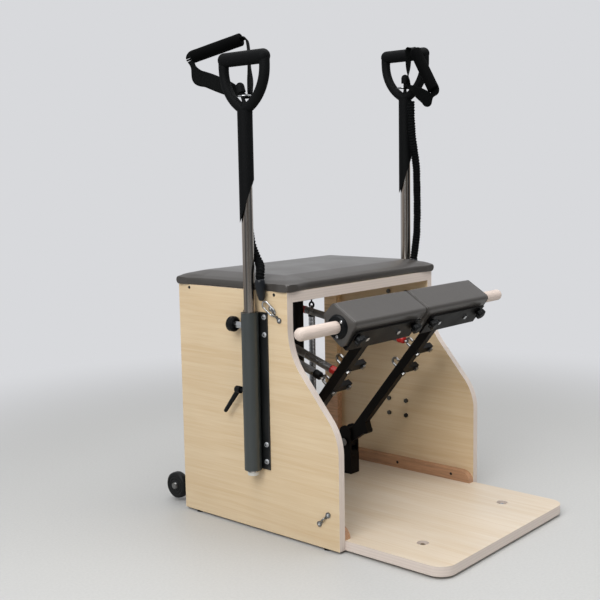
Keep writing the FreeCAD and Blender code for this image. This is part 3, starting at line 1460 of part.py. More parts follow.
def springs():
    """Two springs to a pedal. The light one of the right pedal is unhooked and hangs from its post."""
    rear = vector("0", POST_Y, "post_top - eye_drop")
    link = "spring_eye_radius - spring_eye_wire - soft_gap"
    hooked = (
        ("spring_left_light", "-pedal_set", "bar_lower"),
        ("spring_left_heavy", "-pedal_set + bar_reach", "bar_lower"),
        ("spring_right_heavy", "pedal_set", "bar_upper"),
    )
    for label, x, level in hooked:
        front = hook_middle(level)
        along = (rear - front).normalize()
        spring(label, x, front + along * number("hook_bend - hook_wire + " + link),
               rear - along * number("eye_radius - eye_wire + " + link))
    top = rear - Z_AXIS * number("eye_radius - eye_wire + " + link)
    spring("spring_right_light", "pedal_set + bar_reach", top - Z_AXIS * number("spring_free_length"), top)


def build():
    for side, sign in SIDES.items():
        side_panel(side, sign)
        leveller(side, sign)
        pole_sleeve(side, sign)
        plunger(side, sign)
        clamp_lever(side, sign)
        pole(side, sign)
        pole_plug(side, sign)
        pole_handle(side, sign)
        wheel(side, sign)
        pedal_arm(side, sign)
        spring_hooks(side, sign)
        pedal_plate(side, sign)
        pedal_pad(side, sign)
        plate_bolts(side, sign)
        pad_knobs(side, sign)
        dowel(side, sign)
    strap_handle("left", -1, STRAP_LEFT_SHARES)
    strap_handle("right", 1, STRAP_RIGHT_SHARES)
    base_platform()
    seat_deck()
    battens()
    feet()
    seat_cushion()
    pole_bushes()
    sleeve_bolts()
    plunger_housings()
    eye_straps()
    cord_fittings()
    cords()
    wheel_mounts()
    pivot_stands()
    spring_posts()
    springs()


def check():
    """Stop before anything is written if an object failed or a shape is not sound."""
    doc.recompute()
    for item in doc.Objects:
        if "Invalid" in item.State or "Error" in item.State:
            raise RuntimeError("%s failed: %s" % (item.Name, item.State))
    for label, item in nodes.items():
        if item.Shape.isNull() or not item.Shape.isValid() or not item.Shape.Solids:
            raise RuntimeError("%s has no sound shape" % label)


def write():
    os.makedirs("parts", exist_ok=True)
    for label, item in nodes.items():
        item.Shape.exportStep("parts/%s.step" % label)
    print("wrote %d parts" % len(nodes))


build()
check()
write()
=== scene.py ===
import math

import bmesh
import bpy
from bpy.props import FloatProperty, FloatVectorProperty, PointerProperty
from mathutils import Matrix, Vector, noise


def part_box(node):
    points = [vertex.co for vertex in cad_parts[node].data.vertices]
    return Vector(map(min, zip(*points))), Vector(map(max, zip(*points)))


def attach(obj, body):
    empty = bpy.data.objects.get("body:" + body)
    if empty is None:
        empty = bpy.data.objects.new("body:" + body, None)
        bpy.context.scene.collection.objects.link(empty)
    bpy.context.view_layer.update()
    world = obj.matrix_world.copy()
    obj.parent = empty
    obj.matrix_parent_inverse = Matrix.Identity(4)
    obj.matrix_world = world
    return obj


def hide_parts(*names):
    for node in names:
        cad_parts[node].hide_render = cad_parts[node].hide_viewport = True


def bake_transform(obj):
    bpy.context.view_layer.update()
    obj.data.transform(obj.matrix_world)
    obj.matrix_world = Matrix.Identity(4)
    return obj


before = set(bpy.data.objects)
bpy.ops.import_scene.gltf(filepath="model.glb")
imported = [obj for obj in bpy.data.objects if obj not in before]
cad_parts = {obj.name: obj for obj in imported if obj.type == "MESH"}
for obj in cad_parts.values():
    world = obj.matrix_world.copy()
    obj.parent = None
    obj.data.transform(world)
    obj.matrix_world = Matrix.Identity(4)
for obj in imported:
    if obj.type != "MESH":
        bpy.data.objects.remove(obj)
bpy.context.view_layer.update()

bl_info = {
    "name": "Pilates chair",
    "version": (1, 0, 0),
    "blender": (4, 5, 0),
    "location": "View3D > Sidebar > Chair",
    "description": "Dresses a plywood pilates chair: upholstery, springs, cords, strap handles and finishes",
    "category": "Object",
}

SIDES = {"left": -1, "right": 1}

# Routes of the stretch cords, from the strap handle's lug down to the cord cap
CORD_ROUTES = {
    "left": [(-0.296, 0.090, 1.052), (-0.2985, 0.098, 1.010), (-0.2995, 0.101, 0.930), (-0.2995, 0.101, 0.850),
             (-0.2995, 0.100, 0.780), (-0.3005, 0.094, 0.732), (-0.2995, 0.0835, 0.702), (-0.2995, 0.070, 0.680),
             (-0.3072, 0.0545, 0.666), (-0.3182, 0.0458, 0.654), (-0.3212, 0.0445, 0.638)],
    "right": [(0.3135, 0.047, 1.082), (0.3138, 0.047, 1.050), (0.315, 0.0465, 1.012), (0.320, 0.045, 0.967),
              (0.330, 0.0435, 0.923), (0.336, 0.043, 0.878), (0.337, 0.043, 0.800), (0.336, 0.042, 0.735),
              (0.331, 0.042, 0.690), (0.3212, 0.0445, 0.638)],
}
# The right cord cap's two ends, which the left one mirrors
CAP_TOP = (0.3212, 0.0445, 0.6380)
CAP_TIP = (0.3182, 0.0426, 0.5847)
# Ends of the coil springs, at the middle of their end rings: front on a pedal hook, rear on a post eye
SPRINGS = {
    "spring_left_light": ((-0.150, -0.00344, 0.37541), (-0.150, 0.33311, 0.49095), "pedal_left"),
    "spring_left_heavy": ((-0.085, -0.00344, 0.37541), (-0.085, 0.33311, 0.49095), "pedal_left"),
    "spring_right_heavy": ((0.150, -0.04972, 0.43244), (0.150, 0.33271, 0.49254), "pedal_right"),
    "spring_right_light": ((0.215, 0.342, 0.1446), (0.215, 0.342, 0.4846), None),
}
# Strap handles: the grip's two ends, the corners of the webbing, its two sewn lugs and the ring that they hang on
STRAPS = {
    "left": {"near": (-0.2454, 0.1598, 1.2153), "far": (-0.2917, 0.2877, 1.1805), "heel": (-0.3069, 0.2665, 1.1352),
             "broad": (-0.2956, 0.1084, 1.0758), "edge": (-0.2961, 0.0864, 1.0828),
             "ring": (-0.3164, 0.0835, 1.0708)},
    "right": {"near": (0.2923, 0.0191, 1.2184), "far": (0.2923, -0.0439, 1.1065), "heel": (0.2936, -0.0299, 1.0790),
              "broad": (0.2956, 0.0441, 1.1239), "edge": (0.2956, 0.0441, 1.1239), "bend": (0.2931, 0.0405, 1.2224),
              "ring": (0.3160, 0.0732, 1.1209)},
}
# Level directions across the photographer's view and along it
ACROSS_VIEW = Vector((0.659, -0.752, 0))
ALONG_VIEW = Vector((0.752, 0.659, 0))


# Settings

def paint(code):
    """An sRGB hex colour as linear red, green and blue."""
    shares = [int(code[start:start + 2], 16) / 255 for start in (0, 2, 4)]
    return tuple(s / 12.92 if s <= 0.04045 else ((s + 0.055) / 1.055) ** 2.4 for s in shares)


def colour(name, description, code):
    return FloatVectorProperty(name=name, description=description, subtype="COLOR", size=3, min=0, max=1,
                               default=paint(code))


def length(name, description, metres):
    return FloatProperty(name=name, description=description, default=metres, unit="LENGTH")


# The pale wall behind the chair
WALL = paint("D8D9DC")


class ChairColours(bpy.types.PropertyGroup):
    """Finishes that a user would change."""
    birch: colour("Birch face", "Lacquered face veneer", "D6C1A0")
    birch_dark: colour("Birch grain", "Darker grain in the face veneer", "C4A67C")
    # The platform and seat deck colours are the birch made paler and cooler, as painted reflection of the pale wall
    # in their lacquer
    board: colour("Platform face", "Lacquered face of the platform and the seat deck", "D0C3B1")
    board_dark: colour("Platform grain", "Darker grain in the platform and the seat deck", "BFA786")
    ply_edge: colour("Ply edge", "Pale sanded edge of the plywood", "D4C7BD")
    pine: colour("Pine", "Planed battens", "B98D6B")
    beech: colour("Beech", "Turned foot dowels", "D4C4B9")
    vinyl: colour("Seat vinyl", "Upholstery of the seat and the pedal pads", "413E3B")
    foam: colour("Grip foam", "Foam covers of the handles", "0B0C0D")
    cloth: colour("Cord sleeve", "Gathered cloth round the stretch cords", "08090A")
    webbing: colour("Webbing", "Woven nylon of the strap handles", "040505")
    sleeve: colour("Sleeve paint", "Satin paint of the pole sleeves", "1F2727")
    flange: colour("Flange paint", "Darker paint of the sleeves' flanges", "070A0B")
    spring_cap: colour("Heavy spring cap", "End caps that mark the heavy springs", "B3221F")


class ChairSizes(bpy.types.PropertyGroup):
    """Sizes of the pieces that are modelled here."""
    spring_radius: length("Spring radius", "Middle of the wire to the spring's axis", 0.009)
    spring_wire: length("Spring wire", "Half the thickness of the spring wire", 0.0016)
    spring_pitch: length("Spring pitch", "Distance between neighbouring coils", 0.0042)
    cord_radius: length("Cord radius", "Outside of the gathered sleeve", 0.0115)
    cord_gather: length("Cord gather", "Distance between folds of the gathered sleeve", 0.0075)
    webbing_width: length("Webbing width", "Width of the strap handles' webbing", 0.038)
    webbing_fold: length("Webbing fold", "Width of the webbing folded to its lug", 0.016)
    webbing_thick: length("Webbing thickness", "Thickness of the strap handles' webbing", 0.0025)
    ring_radius: length("Strap ring radius", "Ring that a strap handle hangs on", 0.0175)
    ring_wire: length("Strap ring wire", "Half the thickness of that ring's wire", 0.0018)
    grip_radius: length("Grip radius", "Foam grip of the strap handles", 0.016)
    bolt_head: length("Bolt head", "Radius of the sleeve bolts' heads", 0.0064)
    cushion_swell: length("Cushion swell", "Most that the seat may swell", 0.0025)
    cushion_edge: length("Cushion edge", "Height of the seat's sides at their edge", 0.019)
    cushion_rise: length("Cushion rise", "Height that the seat's top gains on its way in", 0.019)
    cushion_slope: length("Cushion slope", "How far in from the edge the seat's top slopes", 0.09)
    cushion_point: length("Cushion point", "How far the seat's corners are drawn out", 0.014)
    cushion_slack: length("Cushion slack", "How far the seat's crown has settled", 0.005)


# Small mesh helpers

def link(name, data):
    piece = bpy.data.objects.new(name, data)
    bpy.context.scene.collection.objects.link(piece)
    return piece


def running(points):
    """The distance along a line to each of its points."""
    lengths = [0.0]
    for here, there in zip(points, points[1:]):
        lengths.append(lengths[-1] + (there - here).length)
    return lengths


def skin(name, rings, loop=False):
    """A closed surface through rings of equally many points, with a UV map in metres round and along it."""
    count = len(rings[0])
    middles = [sum(ring, Vector()) / count for ring in rings]
    widest = max(rings, key=lambda ring: (ring[0] - ring[count // 2]).length)
    around = running(widest + widest[:1])
    along = running(middles + middles[:1])
    points = [point for ring in rings for point in ring]
    faces = []
    corners = []
    for i in range(len(rings) if loop else len(rings) - 1):
        low = i * count
        high = (i + 1) % len(rings) * count
        for j in range(count):
            k = (j + 1) % count
            faces.append((low + j, low + k, high + k, high + j))
            corners += [(around[j], along[i]), (around[j + 1], along[i]), (around[j + 1], along[i + 1]),
                        (around[j], along[i + 1])]
    if not loop:
        faces.append(tuple(reversed(range(count))))
        faces.append(tuple(range(len(points) - count, len(points))))
        corners += [(0.0, 0.0)] * (2 * count)
    mesh = bpy.data.meshes.new(name)
    mesh.from_pydata(points, [], faces)
    mesh.uv_layers.new(name="UVMap").data.foreach_set("uv", [value for corner in corners for value in corner])
    mesh.shade_smooth()
    work = bmesh.new()
    work.from_mesh(mesh)
    bmesh.ops.recalc_face_normals(work, faces=work.faces)
    work.to_mesh(mesh)
    work.free()
    return link(name, mesh)


def cross_frames(points, loop):
    """Two directions square to a line at each of its points, carried along it without twist."""
    count = len(points)
    frames = []
    side = None
    for i, point in enumerate(points):
        before = points[i - 1] if loop or i else point
        after = points[(i + 1) % count] if loop or i < count - 1 else point
        tangent = (after - before).normalized()
        if side is None:
            side = tangent.orthogonal().normalized()
        side = (side - tangent * side.dot(tangent)).normalized()
        frames.append((side, tangent.cross(side)))
    return frames


def tube(name, points, radius, sides, loop=False):
    """A tube along a line. The radius is a number, or a function of the point's index and the angle."""
    rings = []
    for i, (point, (across, up)) in enumerate(zip(points, cross_frames(points, loop))):
        ring = []
        for j in range(sides):
            angle = 2 * math.pi * j / sides
            reach = radius(i, angle) if callable(radius) else radius
            ring.append(point + (across * math.cos(angle) + up * math.sin(angle)) * reach)
        rings.append(ring)
    return skin(name, rings, loop)


def circle(middle, axis, radius, sides):
    """Points evenly round a circle about an axis."""
    across = axis.orthogonal().normalized()
    up = axis.cross(across)
    points = []
    for step in range(sides):
        angle = 2 * math.pi * step / sides
        points.append(middle + (across * math.cos(angle) + up * math.sin(angle)) * radius)
    return points


def turned(name, profile, start, axis, sides):
    """A turned form: its profile gives radius and height along the axis from the start point."""
    axis = axis.normalized()
    return skin(name, [circle(start + axis * height, axis, radius, sides) for radius, height in profile])


def hoop(name, middle, axis, radius, wire):
    """A closed ring of round wire."""
    return tube(name, circle(middle, axis.normalized(), radius, 32), wire, 10, loop=True)


def ribbon(name, stations, thick, steps=14):
    """Webbing through stations of point and half-width vector, run through by one smooth line."""
    last = len(stations) - 1
    rings = []
    for i in range(last):
        rows = [stations[min(max(i + k, 0), last)] for k in (-1, 0, 1, 2)]
        for step in range(steps + (i == last - 1)):
            t = step / steps
            weights = ((-t + 2 * t * t - t ** 3) / 2, (2 - 5 * t * t + 3 * t ** 3) / 2,
                       (t + 4 * t * t - 3 * t ** 3) / 2, (t ** 3 - t * t) / 2)
            slopes = ((-1 + 4 * t - 3 * t * t) / 2, (-10 * t + 9 * t * t) / 2, (1 + 8 * t - 9 * t * t) / 2,
                      (3 * t * t - 2 * t) / 2)
            point = sum((row[0] * weight for row, weight in zip(rows, weights)), Vector())
            wide = sum((row[1] * weight for row, weight in zip(rows, weights)), Vector())
            tangent = sum((row[0] * slope for row, slope in zip(rows, slopes)), Vector()).normalized()
            wide = (wide - tangent * wide.dot(tangent)).normalized() * wide.length
            lift = tangent.cross(wide).normalized() * thick / 2
            soft = wide * (1 - 0.35 * thick / wide.length)
            ring = [point + soft * (1 - share / 4) - lift for share in range(9)]
            ring.append(point - wide)
            ring += [point - soft * (1 - share / 4) + lift for share in range(9)]
            ring.append(point + wide)
            rings.append(ring)
    return skin(name, rings)


def joined(name, pieces):
    """One object from several, each keeping its own material."""
    mesh = bpy.data.meshes.new(name)
    work = bmesh.new()
    slots = []
    for piece in pieces:
        first = len(work.faces)
        work.from_mesh(piece.data)
        work.faces.ensure_lookup_table()
        used = [slot.material for slot in piece.material_slots]
        for face in work.faces[first:]:
            material = used[min(face.material_index, len(used) - 1)]
            if material not in slots:
                slots.append(material)
            face.material_index = slots.index(material)
    work.to_mesh(mesh)
    work.free()
    for material in slots:
        mesh.materials.append(material)
    for piece in pieces:
        old = piece.data
        bpy.data.objects.remove(piece)
        bpy.data.meshes.remove(old)
    return link(name, mesh)


def coat(piece, material):
    piece.data.materials.clear()
    piece.data.materials.append(material)
    return piece


def settle(piece):
    """The piece with its modifiers applied, as a plain mesh."""
    depsgraph = bpy.context.evaluated_depsgraph_get()
    mesh = bpy.data.meshes.new_from_object(piece.evaluated_get(depsgraph), depsgraph=depsgraph)
    old = piece.data
    piece.modifiers.clear()
    piece.data = mesh
    bpy.data.meshes.remove(old)
    return piece


def set_points(name, spots):
    """Loose points with the direction that each one faces."""
    mesh = bpy.data.meshes.new(name)
    mesh.from_pydata([place for place, facing in spots], [], [])
    facing = mesh.attributes.new("facing", "FLOAT_VECTOR", "POINT")
    facing.data.foreach_set("vector", [value for place, way in spots for value in way])
    return link(name, mesh)


# Node helpers

# Sockets of a colour mix: its share, its two colours and its result
SHARE, FIRST, SECOND, MIXED = 0, 6, 7, 2


def feed(node, inputs):
    """Give each named input of a node a value or a link."""
    for name, value in inputs.items():
        if isinstance(value, bpy.types.NodeSocket):
            node.id_data.links.new(value, node.inputs[name])
        else:
            node.inputs[name].default_value = value


def add(tree, kind, inputs=None, give=0, **settings):
    """One node with its settings and inputs, for which its first output stands, or the one that give names."""
    node = tree.nodes.new(kind)
    for name, value in settings.items():
        setattr(node, name, value)
    feed(node, inputs or {})
    return node.outputs[give] if node.outputs else node


def points_tree(name, sizes):
    """A node tree that takes points, sizes and a material, and the sockets of what it is given."""
    tree = bpy.data.node_groups.new(name, "GeometryNodeTree")
    sockets = [("Geometry", "INPUT", "Geometry"), *((size, "INPUT", "Float") for size in sizes),
               ("Material", "INPUT", "Material"), ("Geometry", "OUTPUT", "Geometry")]
    for socket, way, kind in sockets:
        tree.interface.new_socket(socket, in_out=way, socket_type="NodeSocket" + kind)
    return tree, add(tree, "NodeGroupInput").node.outputs


def on_points(tree, given, piece):
    """The tree with its piece put on every point, turned to the point's facing, as one mesh with its material."""
    facing = add(tree, "GeometryNodeInputNamedAttribute", {"Name": "facing"}, data_type="FLOAT_VECTOR")
    turn = add(tree, "FunctionNodeAlignRotationToVector", {"Vector": facing}, axis="Z")
    spots = add(tree, "GeometryNodeMeshToPoints", {"Mesh": given["Geometry"]})
    copies = add(tree, "GeometryNodeInstanceOnPoints", {"Points": spots, "Instance": piece, "Rotation": turn})
    real = add(tree, "GeometryNodeRealizeInstances", {"Geometry": copies})
    done = add(tree, "GeometryNodeSetMaterial", {"Geometry": real, "Material": given["Material"]})
    add(tree, "NodeGroupOutput", {"Geometry": done})
    return tree


def grow(piece, tree, values):
    """The piece as its node tree makes it, turned to a plain mesh."""
    modifier = piece.modifiers.new(tree.name, "NODES")
    modifier.node_group = tree
    for item in tree.interface.items_tree:
        if item.in_out == "INPUT" and item.name in values:
            modifier[item.identifier] = values[item.name]
    return settle(piece)


# Materials

def blank(name, kind="ShaderNodeTexCoord", give="Object"):
    """A new material with its node tree, its shader and the place on the piece that its patterns follow."""
    material = bpy.data.materials.new(name)
    material.use_nodes = True
    tree = material.node_tree
    return material, tree, tree.nodes["Principled BSDF"], add(tree, kind, give=give)


def rgba(value):
    return (*value, 1.0)


def shade(value, share):
    return rgba(tuple(min(1.0, part * share) for part in value))


def clouded(tree, place, texture, base, shares, glosses):
    """Slow cloudiness: a colour between two shares of its base, and a roughness between two values."""
    cloud = add(tree, "ShaderNodeTexNoise", {"Vector": place, **texture})
    low, high = (shade(base, share) for share in shares)
    tone = add(tree, "ShaderNodeMix", {SHARE: cloud, FIRST: low, SECOND: high}, MIXED, data_type="RGBA")
    gloss = add(tree, "ShaderNodeMapRange", {"Value": cloud, "From Min": 0.3, "From Max": 0.7, "To Min": glosses[0],
                                             "To Max": glosses[1]})
    return tone, gloss


def streaked(tree, place, stretch, texture, limits, most, under, over):
    """Drawn-out streaks: one colour with another laid over it where they show, and their noise."""
    drawn = add(tree, "ShaderNodeMapping", {"Vector": place, **stretch})
    streak = add(tree, "ShaderNodeTexNoise", {"Vector": drawn, "Scale": 1.0, **texture})
    share = add(tree, "ShaderNodeMapRange", {"Value": streak, "From Min": limits[0], "From Max": limits[1],
                                             "To Max": most})
    tone = add(tree, "ShaderNodeMix", {SHARE: share, FIRST: under, SECOND: rgba(over)}, MIXED, data_type="RGBA")
    return tone, streak


def worked(name, base, roughness, metallic=0.0, grain=0.002, relief=0.1, change=0.12, shine=0.5):
    """A moulded, painted, cast or plated finish: a faint cloudiness, uneven gloss and a fine grain in the surface.
    The grain is in metres, and the shine is the shader's specular level."""
    material, tree, shader, place = blank(name)
    tone, gloss = clouded(tree, place, {"Scale": 18.0, "Detail": 4.0}, base, (1 - change, 1 + change),
                          (max(0.03, roughness - 0.06), roughness + 0.06))
    fine = add(tree, "ShaderNodeTexNoise", {"Vector": place, "Scale": 0.5 / grain, "Detail": 2.0})
    bump = add(tree, "ShaderNodeBump", {"Height": fine, "Strength": relief, "Distance": grain * 0.4})
    feed(shader, {"Base Color": tone, "Roughness": gloss, "Normal": bump, "Metallic": metallic,
                  "Specular IOR Level": shine})
    return material


def sawn_wood(name, base, dark, along, ring_width, roughness, knots=0.0):
    """Planed or turned solid wood: long streaks of early and late wood along one axis, pores and the odd knot."""
    material, tree, shader, place = blank(name)
    stretch = [1.0 / ring_width] * 3
    stretch["XYZ".index(along)] = 0.05 / ring_width
    tone, streak = streaked(tree, place, {"Scale": stretch}, {"Detail": 5.0, "Roughness": 0.6, "Distortion": 0.6},
                            (0.35, 0.68), 1.0, rgba(base), dark)
    if knots:
        spots = add(tree, "ShaderNodeTexVoronoi", {"Vector": place, "Scale": 6.0})
        core = add(tree, "ShaderNodeMapRange", {"Value": spots, "From Min": 0.05, "From Max": 0.11, "To Min": knots,
                                                "To Max": 0.0})
        tone = add(tree, "ShaderNodeMix", {SHARE: core, FIRST: tone, SECOND: shade(dark, 0.35)}, MIXED,
                   data_type="RGBA")
    bump = add(tree, "ShaderNodeBump", {"Height": streak, "Strength": 0.12, "Distance": 0.0005})
    feed(shader, {"Base Color": tone, "Normal": bump, "Roughness": roughness})
    return material


def birch_plywood(name, board, grain, sanded, thick_axis):
    """Lacquered birch plywood: pale faces with faint flames and hair-fine streaks along the board, and a sanded
    edge with paler and pinker plies in turn."""
    material, tree, shader, place = blank(name)
    face, gloss = clouded(tree, place, {"Scale": 5.0, "Detail": 2.0}, board, (0.93, 1.06), (0.36, 0.46))
    flamed = streaked(tree, place, {"Scale": (55.0, 2.2, 55.0)}, {"Detail": 3.0, "Distortion": 1.2}, (0.38, 0.72),
                      0.5, face, grain)[0]
    face, hair = streaked(tree, place, {"Scale": (420.0, 9.0, 420.0)}, {"Detail": 3.0}, (0.45, 0.75), 0.35, flamed,
                          grain)
    # Plies of about 1.5 mm are drawn 3 mm thick so that they still show
    depth = add(tree, "ShaderNodeSeparateXYZ", {"Vector": place}, thick_axis)
    wave = add(tree, "ShaderNodeMath", {0: depth, 1: 2 * math.pi / 0.0066}, operation="MULTIPLY")
    plies = add(tree, "ShaderNodeMath", {0: wave}, operation="SINE")
    share = add(tree, "ShaderNodeMapRange", {"Value": plies, "From Min": -0.4, "From Max": 0.4, "To Max": 0.35})
    edge = add(tree, "ShaderNodeMix", {SHARE: share, FIRST: rgba(sanded), SECOND: shade(sanded, 0.82)}, MIXED,
               data_type="RGBA")
    normal = add(tree, "ShaderNodeNewGeometry", give="Normal")
    facing = add(tree, "ShaderNodeSeparateXYZ", {"Vector": normal}, thick_axis)
    flat = add(tree, "ShaderNodeMath", {0: facing}, operation="ABSOLUTE")
    which = add(tree, "ShaderNodeMapRange", {"Value": flat, "From Min": 0.6, "From Max": 0.9})
    tone = add(tree, "ShaderNodeMix", {SHARE: which, FIRST: edge, SECOND: face}, MIXED, data_type="RGBA")
    bump = add(tree, "ShaderNodeBump", {"Height": hair, "Strength": 0.05, "Distance": 0.0003})
    feed(shader, {"Base Color": tone, "Roughness": gloss, "Normal": bump})
    return material


def tinted(material, axis, start, tint):
    """The finish multiplied by a tint on whatever lies further than start from the origin along an axis."""
    tree = material.node_tree
    base = tree.nodes["Principled BSDF"].inputs["Base Color"]
    place = add(tree, "ShaderNodeTexCoord", give="Object")
    part = add(tree, "ShaderNodeSeparateXYZ", {"Vector": place}, axis)
    away = add(tree, "ShaderNodeMath", {0: part}, operation="ABSOLUTE")
    share = add(tree, "ShaderNodeMath", {0: away, 1: start}, operation="GREATER_THAN")
    tone = add(tree, "ShaderNodeMix", {SHARE: share, FIRST: base.links[0].from_socket, SECOND: rgba(tint)}, MIXED,
               data_type="RGBA", blend_type="MULTIPLY")
    tree.links.new(tone, base)
    return material


def drawn_tube_painted_reflections(name, pale, dark, warm):
    """Polished drawn steel tube: grey with long soft streaks down its length, some dark and some warm, that are
    painted reflections of the room, and a mirror that the polishing has drawn out."""
    material, tree, shader, place = blank(name)
    # Painted reflections of the room: streaks about 9, 7 and 3 mm wide round the tube, and longer than the tube
    tone = rgba(pale)
    for width, low, high, tint in ((0.009, 0.42, 0.62, dark), (0.007, 0.46, 0.66, warm), (0.003, 0.45, 0.8, dark)):
        stretch = {"Location": (width * 40, width * 90, 0), "Scale": (1 / width, 1 / width, 0.6)}
        tone = streaked(tree, place, stretch, {"Detail": 2.0}, (low, high), 0.9, tone, tint)[0]
    fine = add(tree, "ShaderNodeMapping", {"Vector": place, "Scale": (1600.0, 1600.0, 6.0)})
    scratch = add(tree, "ShaderNodeTexNoise", {"Vector": fine, "Scale": 1.0, "Detail": 1.0})
    gloss = add(tree, "ShaderNodeMapRange", {"Value": scratch, "To Min": 0.16, "To Max": 0.3})
    feed(shader, {"Base Color": tone, "Roughness": gloss, "Metallic": 1.0})
    return material


def upholstery_vinyl(name, base):
    """Embossed vinyl: matt grey with a low sheen, a pebbled skin and slow cloudiness from handling."""
    material, tree, shader, place = blank(name)
    tone, gloss = clouded(tree, place, {"Scale": 9.0, "Detail": 3.0}, base, (0.88, 1.12), (0.28, 0.37))
    # Real pebbles are under 1 mm and are drawn 2 mm wide so that they show
    pebble = add(tree, "ShaderNodeTexVoronoi", {"Vector": place, "Scale": 500.0}, feature="SMOOTH_F1")
    crease = add(tree, "ShaderNodeTexNoise", {"Vector": place, "Scale": 28.0, "Detail": 4.0})
    soft = add(tree, "ShaderNodeBump", {"Height": crease, "Strength": 0.12, "Distance": 0.002})
    bump = add(tree, "ShaderNodeBump", {"Height": pebble, "Strength": 0.12, "Distance": 0.0004, "Normal": soft})
    feed(shader, {"Base Color": tone, "Roughness": gloss, "Normal": bump, "Specular IOR Level": 0.45})
    return material


def woven(name, base, across, along, roughness):
    """Woven black nylon: ribs across and yarns along the strip, by its own UV map, with a painted highlight on its
    high points and painted shade in its hollows. The rib spacings are in metres."""
    material, tree, shader, place = blank(name, "ShaderNodeUVMap", "UV")
    ribs = []
    for part, pitch in enumerate((across, along)):
        run = add(tree, "ShaderNodeSeparateXYZ", {"Vector": place}, part)
        turn = add(tree, "ShaderNodeMath", {0: run, 1: 2 * math.pi / pitch}, operation="MULTIPLY")
        ribs.append(add(tree, "ShaderNodeMath", {0: turn}, operation="SINE"))
    weave = add(tree, "ShaderNodeMath", {0: ribs[0], 1: ribs[1]}, operation="MULTIPLY")
    # Painted highlight on the weave's high points and painted shade in its hollows
    high = add(tree, "ShaderNodeMapRange", {"Value": weave, "From Min": -1.0, "From Max": 1.0})
    tone = add(tree, "ShaderNodeMix", {SHARE: high, FIRST: shade(base, 0.6), SECOND: shade(base, 1.7)}, MIXED,
               data_type="RGBA")
    bump = add(tree, "ShaderNodeBump", {"Height": weave, "Strength": 0.35, "Distance": 0.0005})
    feed(shader, {"Base Color": tone, "Normal": bump, "Roughness": roughness, "Specular IOR Level": 0.05})
    return material


